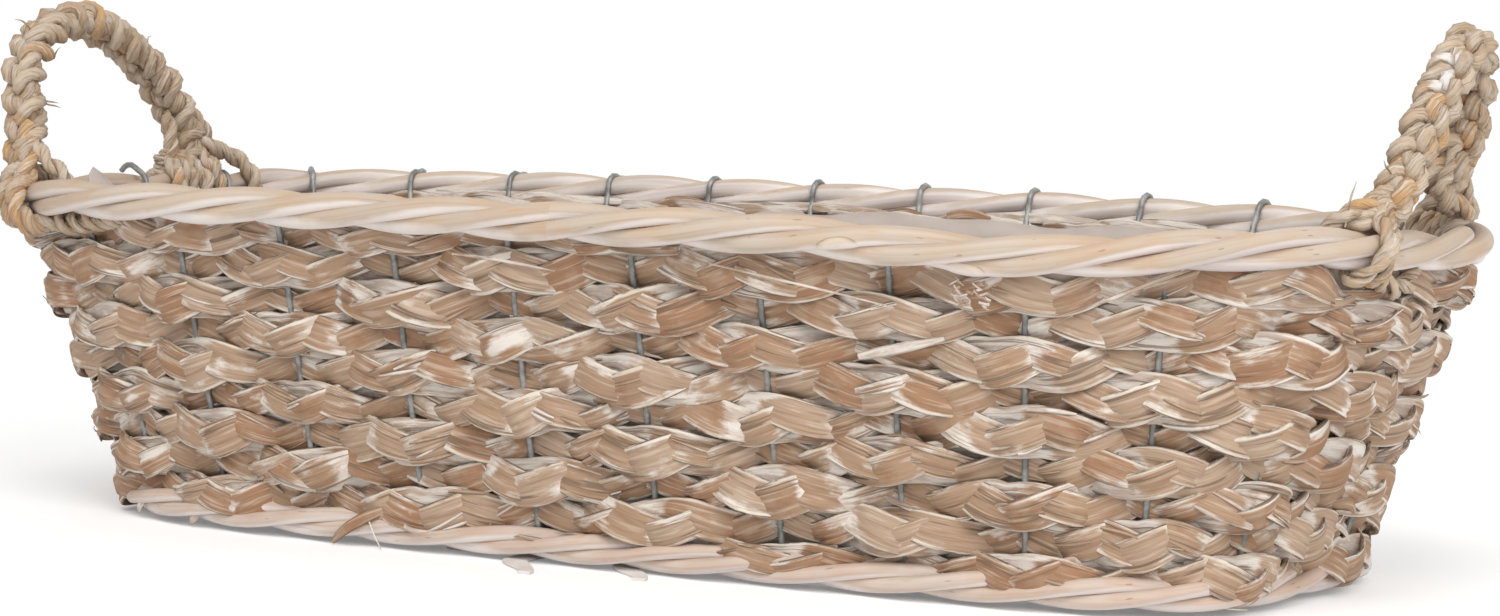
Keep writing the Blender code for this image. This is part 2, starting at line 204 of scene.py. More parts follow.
def bowed(points):
    """Points of the level basket, moved up or down with its bow."""
    x, y, z = points[..., 0], points[..., 1], points[..., 2]
    rise = np.clip((z - BASE_Z) / (RIM_Z - BASE_Z), 0, 1)
    front = ease(-y / FRONT_DEPTH)
    rim = RIM_LIFT - RIM_DROOP * (x / (RIM_LENGTH / 2)) ** 2
    for depth, middle, reach in FRONT_DIPS:
        rim = rim - front * depth * np.exp(-(((x - middle) / reach) ** 2))
    base = BASE_CURL * (x / (BASE_LENGTH / 2)) ** 2
    moved = points.copy()
    moved[..., 2] = z + base * (1 - rise) + rim * rise
    moved[..., :2] += CENTRE_SHIFT
    return moved


print("the front rim dips by", FRONT_DIPS[0][0] * 1000, "mm")

# %% [markdown]
# The sky and every finish are made of nodes. They could be joined by hand in the shader editor. A small
# helper does the same in a form that can be read and repeated: it makes a node, sets its values by name,
# and joins it to the nodes that feed it.

# %% A helper for node trees
WHITE = (1, 1, 1, 1)


class Nodes:
    """Short calls that build the nodes of one tree."""

    def __init__(self, tree):
        self.tree = tree

    def node(self, kind, settings=None, **feeds):
        """New node; each feed is a value or the output of another node."""
        made = self.tree.nodes.new("ShaderNode" + kind)
        for key, value in (settings or {}).items():
            setattr(made, key, value)
        for key, value in feeds.items():
            self.feed(made, key, value)
        return made

    def feed(self, made, key, value):
        """Set or join one input, named with underlines for spaces, or numbered as in_0."""
        socket = made.inputs[int(key[3:])] if key.startswith("in_") else made.inputs[key.replace("_", " ")]
        if isinstance(value, bpy.types.NodeSocket):
            self.tree.links.new(value, socket)
        elif socket.type == "RGBA":
            socket.default_value = (*value[:3], 1)
        else:
            socket.default_value = value

    def math(self, operation, first, second):
        """Result of one sum."""
        return self.node("Math", {"operation": operation}, in_0=first, in_1=second).outputs[0]

    def times(self, first, second):
        """Product of two values."""
        return self.math("MULTIPLY", first, second)

    def swung(self, value, pattern, amount):
        """Value plus a pattern that swings to both sides by half the amount."""
        return self.math("ADD", value, self.times(self.math("SUBTRACT", pattern, 0.5), amount))


print("node helper ready")


# %% A helper for finishes
class Finish(Nodes):
    """One material, with the coordinates that its patterns are laid in."""

    def __init__(self, name):
        self.material = bpy.data.materials.new(name)
        self.material.use_nodes = True
        super().__init__(self.material.node_tree)
        self.shader = self.tree.nodes["Principled BSDF"]
        self.place = self.node("TexCoord").outputs["Object"]
        self.along = self.node("UVMap", {"uv_map": "UVMap"}).outputs[0]

    def span(self, value, low, high, to_low=0.0, to_high=1.0):
        """Value moved smoothly from one range to another, and kept inside it."""
        return self.node("MapRange", {"interpolation_type": "SMOOTHSTEP"}, Value=value, From_Min=low,
                         From_Max=high, To_Min=to_low, To_Max=to_high).outputs[0]

    def mix(self, share, first, second):
        """Mix of two colours."""
        return self.node("Mix", {"data_type": "RGBA"}, in_0=share, in_6=first, in_7=second).outputs[2]

    def layered(self, colour, *layers):
        """Colour with tones over it: each layer is a pattern, its range, the most that shows, a tone."""
        for pattern, low, high, most, tone in layers:
            colour = self.mix(self.span(pattern, low, high, 0, most), colour, tone)
        return colour

    def noise(self, scale, detail=3.0, rough=0.55, source=None):
        """Cloudy pattern from 0 to 1."""
        place = self.place if source is None else source
        made = self.node("TexNoise", None, Vector=place, Scale=scale, Detail=detail, Roughness=rough)
        return made.outputs[0]

    def lengthwise(self, along, across, detail, rough=0.55, turn=0.0):
        """The same, drawn out along a rod: it changes so many times a metre along it and across it."""
        place = self.node("Mapping", None, Vector=self.along, Scale=(along, across, 1), Rotation=(0, 0, turn))
        return self.noise(1.0, detail, rough, place.outputs[0])

    def attribute(self, name):
        """A number that the mesh carries at each of its points."""
        return self.node("Attribute", {"attribute_name": name}).outputs["Fac"]

    def bump(self, height, strength, distance, normal=None):
        """Relief from a pattern of heights."""
        made = self.node("Bump", None, Height=height, Strength=strength, Distance=distance)
        if normal is not None:
            self.feed(made, "Normal", normal)
        return made.outputs[0]

    def set(self, **feeds):
        """Feed the surface shader."""
        for key, value in feeds.items():
            self.feed(self.shader, key, value)
        return self.material


print("finish helper ready")

# %% [markdown]
# The camera stands in front, to the right and just above the rim. It could be moved about until the
# picture looks right, but matching points of the rim, the base and the wires gave its place and its lens
# together.

# %% Camera
CAMERA_PLACE = Vector((0.58008, -1.19906, 0.21017))
CAMERA_YAW, CAMERA_PITCH, CAMERA_ROLL = 0.44403, 0.08297, 0.02124
FOCAL_PIXELS = 3214.6
PHOTO_WIDTH = 1500
SENSOR = 36.0
FARTHEST_SEEN = 50


def placed(name, data):
    """New object in the scene for a camera, a lamp or a mesh."""
    made = bpy.data.objects.new(name, data)
    bpy.context.scene.collection.objects.link(made)
    return made


ahead = Vector((-math.sin(CAMERA_YAW) * math.cos(CAMERA_PITCH),
                math.cos(CAMERA_YAW) * math.cos(CAMERA_PITCH), -math.sin(CAMERA_PITCH)))
level = Vector((math.cos(CAMERA_YAW), math.sin(CAMERA_YAW), 0))
above = level.cross(ahead)
right = level * math.cos(CAMERA_ROLL) + above * math.sin(CAMERA_ROLL)
up_side = above * math.cos(CAMERA_ROLL) - level * math.sin(CAMERA_ROLL)
camera_data = bpy.data.cameras.new("camera")
camera_data.sensor_width = SENSOR
camera_data.sensor_fit = "HORIZONTAL"
camera_data.lens = FOCAL_PIXELS * SENSOR / PHOTO_WIDTH
camera_data.clip_end = FARTHEST_SEEN
camera = placed("camera", camera_data)
turn_to_view = Matrix((right, up_side, -ahead)).transposed().to_4x4()
camera.matrix_world = Matrix.Translation(CAMERA_PLACE) @ turn_to_view
bpy.context.scene.camera = camera
bpy.context.scene.view_settings.view_transform = "Standard"
print("lens", round(camera_data.lens, 2), "mm")

# %% [markdown]
# The basket was lit as in a light tent, without hard shadows. Two large square lamps and a pale sky do
# that. Seen directly, through the film or in a reflection the sky is white, and it gives less light than
# it shows.

# %% Lamps and sky
LAMPS = {
    "lamp_above": {"place": (0.35, -1.3, 1.9), "target": (0.05, 0, 0.08), "size": 1.1, "power": 18},
    "lamp_front_right": {"place": (1.7, -1.3, 1.1), "target": (0, 0, 0.08), "size": 1.2, "power": 17},
}
SKY_LIGHT = 0.70

for name, lamp in LAMPS.items():
    lamp_data = bpy.data.lights.new(name, "AREA")
    lamp_data.shape = "SQUARE"
    lamp_data.size = lamp["size"]
    lamp_data.energy = lamp["power"]
    made = placed(name, lamp_data)
    made.location = lamp["place"]
    made.rotation_euler = (Vector(lamp["target"]) - Vector(lamp["place"])).to_track_quat("-Z", "Y").to_euler()

world = bpy.data.worlds.new("sky")
bpy.context.scene.world = world
world.use_nodes = True
sky = Nodes(world.node_tree)
sky.tree.nodes.clear()
rays = sky.node("LightPath").outputs
direct = sky.math("MAXIMUM", rays["Is Camera Ray"], rays["Is Glossy Ray"])
direct = sky.math("MAXIMUM", direct, rays["Is Transmission Ray"])
lighting = sky.node("Background", None, Color=WHITE, Strength=SKY_LIGHT)
shown = sky.node("Background", None, Color=WHITE, Strength=1.0)
chosen = sky.node("MixShader", None, in_0=direct, in_1=lighting.outputs[0], in_2=shown.outputs[0])
sky.node("OutputWorld", None, Surface=chosen.outputs[0])
print(len(LAMPS), "lamps, sky", SKY_LIGHT)

# %% [markdown]
# The floor is plain and pale, and further from the basket it runs into the white of the backdrop. A bent
# sheet, as in a studio, could do this too. A flat floor that turns into plain white light with distance
# needs no horizon.

# %% Floor
FLOOR_SIZE = 12
FLOOR_WHITE = 0.93
FLOOR_GLOW = 0.16
FADE_FROM, FADE_TO = 0.42, 0.95


def mesh_data(name, shape):
    """Mesh data from a shape that is ready."""
    data = bpy.data.meshes.new(name)
    shape.to_mesh(data)
    shape.free()
    return data


ground = Finish("pale_floor")
from_middle = ground.node("VectorMath", {"operation": "LENGTH"}, in_0=ground.place).outputs["Value"]
seen = ground.node("LightPath").outputs["Is Camera Ray"]
ground.set(Base_Color=(FLOOR_WHITE, FLOOR_WHITE, FLOOR_WHITE), Roughness=0.9, Specular_IOR_Level=0.0,
           Emission_Color=WHITE, Emission_Strength=ground.times(seen, FLOOR_GLOW))
fade = ground.times(seen, ground.span(from_middle, FADE_FROM, FADE_TO))
white = ground.node("Emission", None, Color=WHITE, Strength=1.0)
faded = ground.node("MixShader", None, in_0=fade, in_1=ground.shader.outputs[0], in_2=white.outputs[0])
ground.feed(ground.tree.nodes["Material Output"], "Surface", faded.outputs[0])
floor_mesh = bmesh.new()
bmesh.ops.create_grid(floor_mesh, x_segments=1, y_segments=1, size=FLOOR_SIZE)
floor = placed("floor", mesh_data("floor", floor_mesh))
floor.data.materials.append(ground.material)
print("floor", FLOOR_WHITE)

# %% [markdown]
# Willow rods, leaves and cords are all long things that follow a path. A curve with a bevel could draw
# them, but its section is the same all along. So each is made from one flat grid that is rolled up: the
# grid's length runs along the path and its width runs round the section. The seam is merged and the ends
# are closed, so that every rod is one closed skin. The grid's own UV map is kept in metres, so that grain
# and fibres can follow the rod, and a few numbers at each point tell the finish where paint gathers or is
# rubbed off, and where light or shade is painted in.


# %% Rolling a grid round a path
def lengths_along(points, closed):
    """Distance travelled at each point of a path."""
    ring = np.concatenate([points, points[:1]]) if closed else points
    return np.concatenate([[0], np.cumsum(np.linalg.norm(np.diff(ring, axis=0), axis=1))])


def angles_round(sides):
    """Angles of the corners of a section."""
    return 2 * math.pi * np.arange(sides) / sides


def dressed(data, finish, body, nodes=()):
    """Object for a finished mesh, riding on its body."""
    piece = placed(data.name, data)
    data.materials.append(finish)
    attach(piece, body)
    if nodes:
        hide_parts(*nodes)
    return piece


print("path measures ready")


# %% Skins of rolled grids
class Skins:
    """Rolled grids gathered into one mesh."""

    def __init__(self):
        self.mesh = bmesh.new()
        self.mesh.loops.layers.uv.new("UVMap")
        self.started = False

    def roll(self, centre, across, thick, reach, depth, closed=False, start=0.0, **numbers):
        """Add one skin: section points are centre + across * reach + thick * depth."""
        rows, columns = reach.shape
        last = rows if closed else rows - 1
        sheet = bmesh.new()
        sheet.loops.layers.uv.new("UVMap")
        bmesh.ops.create_grid(sheet, x_segments=last, y_segments=columns, size=1, calc_uvs=True)
        data = mesh_data("sheet", sheet)
        flat = np.empty(len(data.vertices) * 3)
        data.vertices.foreach_get("co", flat)
        flat = flat.reshape(-1, 3)
        row = np.rint((flat[:, 0] + 1) / 2 * last).astype(int) % rows
        column = np.rint((flat[:, 1] + 1) / 2 * columns).astype(int) % columns
        places = centre[row] + across[row] * reach[row, column, None] + thick[row] * depth[row, column, None]
        data.vertices.foreach_set("co", bowed(places).ravel())
        arc = lengths_along(centre, closed) + start
        girth = 2 * math.pi * float(np.mean(np.hypot(reach, depth)))
        coords = np.empty(len(data.loops) * 2)
        data.uv_layers["UVMap"].data.foreach_get("uv", coords)
        coords = coords.reshape(-1, 2)
        coords[:, 0] = arc[np.rint(coords[:, 0] * last).astype(int)]
        coords[:, 1] *= girth
        data.uv_layers["UVMap"].data.foreach_set("uv", coords.ravel())
        for name, values in numbers.items():
            values = np.broadcast_to(values, (rows, columns))
            layer = data.attributes.new(name, "FLOAT", "POINT")
            layer.data.foreach_set("value", values[row, column].astype(np.float32))
            if not self.started:
                self.mesh.verts.layers.float.new(name)
        self.started = True
        self.mesh.from_mesh(data)
        bpy.data.meshes.remove(data)

    def finish(self, name, finish, body, slot, nodes=()):
        """Merge seams, close ends, and hand the piece to its body."""
        mesh = self.mesh
        bmesh.ops.remove_doubles(mesh, verts=mesh.verts, dist=0.000002)
        rims = [edge for edge in mesh.edges if edge.is_boundary]
        caps = bmesh.ops.holes_fill(mesh, edges=rims, sides=0)["faces"] if rims else []
        bmesh.ops.recalc_face_normals(mesh, faces=mesh.faces)
        for face in mesh.faces:
            face.smooth = True
        for cap in caps:
            for edge in cap.edges:
                edge.smooth = False
        return dressed(mesh_data(name, mesh), finish, body, nodes)


print("rolling helper ready")


# %% Smooth random curves
def wander(seed, places, spacing, size=1.0):
    """Smooth random curve over places in metres, of about the given size."""
    draw = np.random.default_rng(seed)
    first = math.floor(float(np.min(places)) / spacing) - 2
    count = math.ceil(float(np.max(places)) / spacing) - first + 4
    values = draw.normal(0, 0.6, count)
    where = places / spacing - first
    index = np.floor(where).astype(int)
    part = ease(where - index)
    return size * (values[index] * (1 - part) + values[index + 1] * part)


print("random curves ready")

# %% [markdown]
# Peeled willow is pale tan with fine lengthwise grain and dark flecks. The basket was dipped in thin
# white paint and rubbed, so the paint stays in the grooves between the rods and under them, and looks
# faintly lilac there. A picture of willow could be wrapped round each rod, but noise that is drawn out
# along the rod has no seam, and the paint can follow the shape.


# %% Whitewashed willow
def willow_finish(name, tan, warm):
    """Grain along the rod, with paint where the mesh says that it gathers, and painted light that makes the
    back rods paler.
    """
    wood = Finish(name)
    grain = wood.lengthwise(9, 900, 4, 0.6)
    bands = wood.lengthwise(5, 160, 2, 0.5)
    dashes = wood.lengthwise(38, 330, 2, 0.5)
    flecks = wood.lengthwise(120, 620, 1)
    clouds = wood.noise(34)
    knot = wood.attribute("knot")
    base = wood.layered(
        tan,
        (clouds, 0.35, 0.68, 1, warm),
        (grain, 0.50, 0.70, 0.6, (0.46, 0.31, 0.19)),
        (bands, 0.50, 0.38, 0.3, (0.66, 0.57, 0.47)),
        (dashes, 0.62, 0.72, 0.6, (0.56, 0.32, 0.16)),
        (flecks, 0.70, 0.76, 0.55, (0.24, 0.14, 0.08)),
        (knot, 0.30, 0.55, 0.8, (0.72, 0.60, 0.46)))
    ring = wood.math("PINGPONG", wood.times(knot, 1.7), 0.5)
    ringed = wood.times(wood.span(ring, 0.38, 0.49), wood.span(knot, 0.06, 0.2))
    base = wood.mix(wood.times(ringed, 0.7), base, (0.34, 0.21, 0.12))
    # The mesh's number gives the paint, and on the back rods also painted light that makes them paler.
    paint = wood.swung(wood.swung(wood.attribute("wash"), bands, 0.9), clouds, 0.9)
    paint = wood.span(paint, 0.35, 0.85, 0, 0.96)
    colour = wood.mix(paint, base, (0.80, 0.735, 0.69))
    colour = wood.mix(wood.times(paint, wood.span(bands, 0.46, 0.66)), colour, (0.60, 0.52, 0.50))
    from_left = wood.node("SeparateXYZ", None, Vector=wood.place).outputs["X"]
    colour = wood.layered(colour, (from_left, -0.20, -0.28, 0.30, (0.40, 0.30, 0.235)))
    relief = wood.bump(grain, 0.35, 0.0004, wood.bump(bands, 0.3, 0.0006))
    return wood.set(Base_Color=colour, Roughness=0.62, Normal=relief)


rim_willow = willow_finish("rim_willow", (0.52, 0.43, 0.345), (0.52, 0.375, 0.26))
base_willow = willow_finish("base_willow", (0.62, 0.51, 0.44), (0.56, 0.40, 0.31))
print("willow finishes made")

# %% [markdown]
# The rim and the base are ropes of three rods that turn round each other. A straight bundle could be
# twisted and bent with modifiers. Here each rod's centre moves on a small circle round the rope's centre
# while it travels along the ring, which keeps each rod a piece of its own. Where a side shoot was cut off
# a rod there is a flat oval scar, and paint gathers where a rod's skin faces the rope's centre or looks
# down.

# %% Twisted ropes of willow rods
RIM_TURNS, RIM_PHASE = 10, 0.217
BASE_TURNS, BASE_PHASE = 10, 0.177
RIM_SCARS = {0: ((0.0831, -40),), 1: ((0.1160, -34), (-0.2655, -20)), 2: ((0.1510, -32),)}
SCAR_LONG, SCAR_WIDE, SCAR_HIGH = 0.0110, 0.0038, 0.0009
ROD_SIDES = 16
BASE_END_TUCK = 0.0042


def turned(first, second, angle, size=1.0):
    """Offsets that turn by an angle from a first direction towards a second."""
    return first * (size * np.cos(angle))[:, None] + second * (size * np.sin(angle))[:, None]


def scar_marks(share, around, ring, rod, scars):
    """How near each point of a rod's skin is to a scar, from 0 to 1."""
    marks = np.zeros((len(share), len(around)))
    for scar_share, degrees in scars:
        off = (np.mod(share - scar_share + 0.5, 1) - 0.5) * ring.arc[-1]
        beside = np.mod(around - math.radians(degrees) + math.pi, 2 * math.pi) - math.pi
        gap = np.hypot(off[:, None] / SCAR_LONG, beside[None, :] * rod / 2 / SCAR_WIDE)
        marks = np.maximum(marks, np.clip(1 - gap, 0, 1))
    return marks


def rope(name, ring, height, rod, turns, phase, steps, finish, scars, seed, tuck=0.0, end_tuck=0.0):
    """Three rods twisted round each other along a closed ring."""
    share = np.arange(steps) / steps
    wave = 2 * math.pi * share
    out = ring.outward(share)
    flat = ring.point(share) - out * (tuck + end_tuck * np.clip(out[:, :1], 0, 1) ** 2)
    middle = np.column_stack([flat, np.full(steps, height)])
    level_out = np.column_stack([out, np.zeros(steps)])
    straight_up = np.tile(UPWARD, (steps, 1))
    around = angles_round(ROD_SIDES)
    for number in range(ROPE_RODS):
        angle = 2 * math.pi * (turns * share + phase + number / ROPE_RODS)
        circle = rod_circle(rod) * (1 + 0.05 * np.sin(7 * wave + number))
        centre = middle + turned(level_out, straight_up, angle, circle)
        stout = 1.11 + 0.04 * np.sin(5 * wave + 2 * math.pi * number / 3) + 0.03 * np.sin(23 * wave + seed)
        knot = scar_marks(share, around, ring, rod, scars.get(number, ()))
        radius = rod / 2 * stout[:, None] + SCAR_HIGH * ease(knot * 2.2)
        facing = np.cos(around[None, :] - angle[:, None])
        under = -np.sin(around)[None, :]
        # Paint is thicker inside the rope, underneath and at the left of the front. The rise at the back is
        # painted light: it makes the back rods paler, as if more light fell on them.
        wash = 0.44 - 0.34 * facing + 0.70 * under + 0.75 * ease((centre[:, 1:2] - 0.01) / 0.06)
        wash = wash + 0.24 * ease(-centre[:, 0:1] / 0.10) * ease(-centre[:, 1:2] / 0.06)
        skins = Skins()
        skins.roll(centre, level_out, straight_up, radius * np.cos(around), radius * np.sin(around),
                   closed=True, wash=wash, knot=knot)
        skins.finish(f"{name}_rod_{number + 1}_willow", finish, "basket", "whitewashed_willow",
                     [f"{name}_rod_{number + 1}"])


rope("rim", RIM_RING, RIM_Z, RIM_ROD, RIM_TURNS, RIM_PHASE, 720, rim_willow, RIM_SCARS, 1)
rope("base", BASE_RING, BASE_Z, BASE_ROD, BASE_TURNS, BASE_PHASE, 640, base_willow, {}, 2, BASE_TUCK,
     BASE_END_TUCK)
print("six willow rods")

# %% [markdown]
# The stakes are galvanised wire. Zinc is dull and mottled, with whitish bloom, so it is only half a metal
# here: a full one would mirror the pale surroundings and look polished.

# %% Galvanised wire
zinc = Finish("galvanised_zinc")
bloom = zinc.noise(160, 4, 0.6)
mottle = zinc.noise(900, 2, 0.5)
zinc_colour = zinc.layered((0.19, 0.19, 0.18), (bloom, 0.40, 0.66, 1, (0.38, 0.38, 0.365)),
                           (mottle, 0.62, 0.75, 0.5, (0.12, 0.12, 0.11)))
zinc.set(Base_Color=zinc_colour, Metallic=0.45, Roughness=zinc.span(bloom, 0.3, 0.7, 0.32, 0.55),
         Normal=zinc.bump(mottle, 0.25, 0.0002))
print("zinc made")

# %% [markdown]
# Each stake starts with a foot that is bent in over the floor, climbs the wall, and ends in a hook over
# the rim, like the handle of a walking stick. A curve with handles could be drawn for each of the 27.
# Instead a few corners are rounded off into a path, and the hook lies on the twisted rods because it is
# worked out how near the wire can come to the middle of the rim.

# %% Paths and sections
def smooth_path(corners, spacing, rounds=3):
    """Path through corners, softened and then evenly spaced."""
    points = np.asarray(corners, float)
    for _ in range(rounds):
        near = points[:-1] * 0.75 + points[1:] * 0.25
        far = points[:-1] * 0.25 + points[1:] * 0.75
        inner = np.empty((2 * len(near), 3))
        inner[0::2], inner[1::2] = near, far
        points = np.concatenate([points[:1], inner, points[-1:]])
    arc = lengths_along(points, False)
    count = max(int(round(arc[-1] / spacing)), 4)
    where = np.linspace(0, arc[-1], count + 1)
    return np.stack([np.interp(where, arc, points[:, axis]) for axis in range(3)], axis=1)


def path_sides(points, guide):
    """Two directions square to a path; the first stays close to a guide direction."""
    tangent = unit(np.gradient(points, axis=0))
    guide = np.broadcast_to(np.asarray(guide, float), points.shape)
    first = unit(guide - tangent * np.sum(guide * tangent, axis=1, keepdims=True))
    return first, np.cross(tangent, first)


def section(half_wide, half_thick, sides, rows, blunt=(1, 1)):
    """Reach and depth of an oval section; a power below 1 makes it blunter along or across."""
    around = angles_round(sides)
    side, front = (np.sign(wave) * np.abs(wave) ** power
                   for wave, power in zip((np.cos(around), np.sin(around)), blunt))
    wide, thick = (np.broadcast_to(half, (rows,))[:, None] for half in (half_wide, half_thick))
    return wide * side, thick * front


print("path helper ready")

# %% Wire stakes
STAKE_FOOT, STAKE_BEND = 0.014, 0.004
STAKE_FOOT_Z = CANE_THICKNESS + TOUCH + WIRE
HOOK_ROOM, HOOK_LEAN = 0.0002, 0.0016
ROD_FULLEST = 1.06
BACK_HOOK, FRONT_HOOK = 46, 142
BACK_STAKES = range(9, 21)
RAISED_HOOK = {20: 0.0034, 19: 0.0012}
WIRE_SIDES = 10


def hook_radius(share, angle):
    """How near a wire's centre comes to the rim's centre while it lies on the rods."""
    touch = RIM_ROD / 2 * ROD_FULLEST + WIRE + HOOK_ROOM
    ring = rod_circle(RIM_ROD)
    nearest = ring
    for number in range(ROPE_RODS):
        aside = angle - 2 * math.pi * (RIM_TURNS * share + RIM_PHASE + number / ROPE_RODS)
        under_root = touch ** 2 - (ring * math.sin(aside)) ** 2
        if under_root > 0:
            nearest = max(nearest, ring * math.cos(aside) + math.sqrt(under_root))
    return nearest


def wire_stake(index):
    """One wire from its foot to the tip of its hook."""
    share = float(stake_share(index))
    inward = -np.append(BASE_RING.outward(float(base_share(share))), 0)
    corner = wall_point(share, STAKE_FOOT_Z)
    corners = [corner + inward * STAKE_FOOT, corner + inward * STAKE_BEND * 1.5, corner]
    climb = (STAKE_FOOT_Z + STAKE_BEND * 1.5, 0.5 * (BASE_Z + RIM_Z), RIM_Z - RIM_RADIUS)
    corners += [wall_point(share, height) for height in climb]
    centre = np.append(RIM_RING.point(share), RIM_Z)
    out = np.append(RIM_RING.outward(share), 0)
    tangent_side = np.cross(out, UPWARD)
    last = BACK_HOOK if index in BACK_STAKES else FRONT_HOOK
    for degrees in np.linspace(180, last, 8):
        angle = math.radians(degrees)
        reach = hook_radius(share, angle) + RAISED_HOOK.get(index, 0) * max(math.sin(angle), 0)
        lean = tangent_side * HOOK_LEAN * (180 - degrees) / (180 - BACK_HOOK)
        corners.append(centre + reach * (out * math.cos(angle) + UPWARD * math.sin(angle)) + lean)
    path_points = smooth_path(corners, 0.0026, 2)
    skins = Skins()
    skins.roll(path_points, *path_sides(path_points, tangent_side),
               *section(WIRE, WIRE, WIRE_SIDES, len(path_points)))
    skins.finish(f"wire_{index % STAKES + 1:02d}", zinc.material, "basket", "galvanised_wire",
                 [f"stake_{index % STAKES + 1:02d}"])


for stake in range(STAKES):
    wire_stake(stake)
print(STAKES, "wires")

# %% [markdown]
# The leaves of the wall are dry, flat and creased. They are tan where the paint was rubbed off, and white
# along their edges, at the ends of each visible facet and in their creases; the dark outlines between
# facets are painted shade. Painting such marks by hand on a long plait would take days, so noise along
# the leaf is weighed with three numbers of the mesh: tone, rub and edge.


# %% Whitewashed leaf
def leaf_finish():
    """Creased dry leaf with rubbed paint."""
    leaf = Finish("whitewashed_leaf")
    fine = leaf.lengthwise(34, 900, 2, 0.7)
    creases = leaf.lengthwise(11, 330, 3)
    streaks = leaf.lengthwise(40, 330, 5, 0.7)
    patches = leaf.lengthwise(42, 95, 2, 0.5)
    clouds = leaf.noise(95, 4, 0.6)
    tone, rub, edge = (leaf.attribute(name) for name in ("tone", "rub", "edge"))
    base = leaf.layered(
        (0.44, 0.31, 0.217),
        (tone, 0.0, 0.5, 1, (0.385, 0.247, 0.154)),
        (leaf.swung(tone, clouds, 2.2), 0.50, 1.0, 0.95, (0.34, 0.18, 0.095)),
        (fine, 0.52, 0.64, 0.48, (0.25, 0.145, 0.08)),
        (fine, 0.47, 0.36, 0.45, (0.64, 0.52, 0.41)))
    paint = leaf.math("SUBTRACT", 1.0, leaf.times(rub, 0.88))
    for pattern, amount in ((streaks, 1.9), (patches, 2.6), (clouds, 0.9)):
        paint = leaf.swung(paint, pattern, amount)
    white = leaf.mix(leaf.span(streaks, 0.42, 0.58), (0.56, 0.46, 0.388), (0.77, 0.71, 0.64))
    colour = leaf.mix(leaf.span(paint, 0.36, 0.86, 0, 0.94), base, white)
    # Torn pale edges, dark outlines and dark cracks: each shows where both of its patterns do. The dark
    # outlines along each strand's edges are painted shade in the gaps between facets.
    for first, second, most, tint in (
            ((edge, 0.76, 0.88), (streaks, 0.42, 0.55), 0.72, (0.76, 0.68, 0.57)),
            ((edge, 0.92, 0.98), (clouds, 0.40, 0.56), 0.85, (0.10, 0.06, 0.04)),
            ((creases, 0.59, 0.62), (creases, 0.68, 0.64), 0.7, (0.14, 0.09, 0.055))):
        both = leaf.times(leaf.span(*first), leaf.span(*second))
        colour = leaf.mix(leaf.times(both, most), colour, tint)
    relief = leaf.bump(fine, 0.6, 0.0007, leaf.bump(creases, 0.5, 0.0012))
    return leaf.set(Base_Color=colour, Roughness=0.66, Normal=relief)


leaf_material = leaf_finish()
print("leaf made")

# %% [markdown]
# The wall is one long three-strand plait, woven in front of one wire and behind the next. It winds up in
# nine courses and climbs one course's height whenever it crosses the front. Nine closed rings would be
# simpler, but then the start and the end of the plait, which both show in front, could not be made.

# %% Course of the plait up the wall
COURSES = 9
COURSE_GAP = 0.0018
CLIMB_FROM, CLIMB_TO = -0.175, 0.175
TAIL_SHARE = 0.26
FOOT_DIP = 0.0100
LEFT_GAPS, RIGHT_GAPS = (-8, -6), (5, 7)
PLAIT_BOTTOM = BASE_Z + BASE_RADIUS - 0.0078
PLAIT_TOP = RIM_Z - RIM_RADIUS + 0.0025
COURSE_PITCH = (PLAIT_TOP - PLAIT_BOTTOM) / COURSES


def gap_share(index):
    """Share of a turn where a handle's foot stands."""
    return even_share(index + 0.5)


def foot_dip(turn):
    """How far the top course is pushed down where a handle goes under the rim."""
    dip = np.zeros_like(turn)
    for gap in LEFT_GAPS + RIGHT_GAPS:
        away = np.abs(np.mod(turn - gap_share(gap) + 0.5, 1) - 0.5) * STAKES
        dip = np.maximum(dip, FOOT_DIP * ease(1 - (away - 0.1) / 0.4))
    return dip


def course_edges(turn):
    """Lower and upper edge of the plait at a count of turns from its start."""
    share = turn - np.floor(turn - CLIMB_FROM)
    climbed = ease((share - CLIMB_FROM) / (CLIMB_TO - CLIMB_FROM))
    below = np.floor(turn - CLIMB_FROM) - 1 + climbed
    low = PLAIT_BOTTOM + np.maximum(below, 0) * COURSE_PITCH + COURSE_GAP / 2
    high = PLAIT_BOTTOM + np.minimum(below + 1, COURSES) * COURSE_PITCH - COURSE_GAP / 2
    return low, np.minimum(high, PLAIT_TOP - foot_dip(turn) - COURSE_GAP / 2)


print("course pitch", round(COURSE_PITCH * 1000, 2), "mm")

# %% How the plait swings and how its facets differ
PLAIT_SWING = 0.0044
BRAIDS_ROUND = 13.86
BRAID_RISE, BRAID_LAG, BRAID_DEPTH = 0.0046, 0.50, 0.0031
LEFT_PUSH, LEFT_PUSH_HIGH = 0.0095, 0.0072
RIGHT_PUSH, RIGHT_PUSH_HIGH = -0.0014, 0.0104
FOOT_PUSH = 0.0020
STEPS_PER_STAKE = 24


def whole_plait():
    """Places along the whole plait where its height is enough to be woven."""
    first = (CLIMB_FROM * STAKES) - STAKE_PHASE
    last = (COURSES + CLIMB_TO) * STAKES - STAKE_PHASE
    count = int((last - first) * STEPS_PER_STAKE)
    index = first + np.arange(count + 1) / STEPS_PER_STAKE
    turn = stake_share(index)
    low, high = course_edges(turn)
    full = COURSE_PITCH - COURSE_GAP
    kept = (high - low) / full >= TAIL_SHARE
    return index[kept], turn[kept], (low[kept] + high[kept]) / 2, (high[kept] - low[kept]) / full


def end_push(out, height):
    """How far the plait bulges past the wires at the two ends of the basket."""
    rise = np.clip((height - 0.015) / 0.110, 0, 1)
    left = LEFT_PUSH + LEFT_PUSH_HIGH * rise
    right_end = RIGHT_PUSH + RIGHT_PUSH_HIGH * rise
    return out[..., 0] ** 2 * np.where(out[..., 0] < 0, left, right_end)


def by_facet(seed, facet, low, high):
    """A random value for each facet of a strand."""
    draw = np.random.default_rng(seed)
    values = draw.uniform(low, high, int(facet.max() - facet.min()) + 2)
    return values[facet - facet.min()]


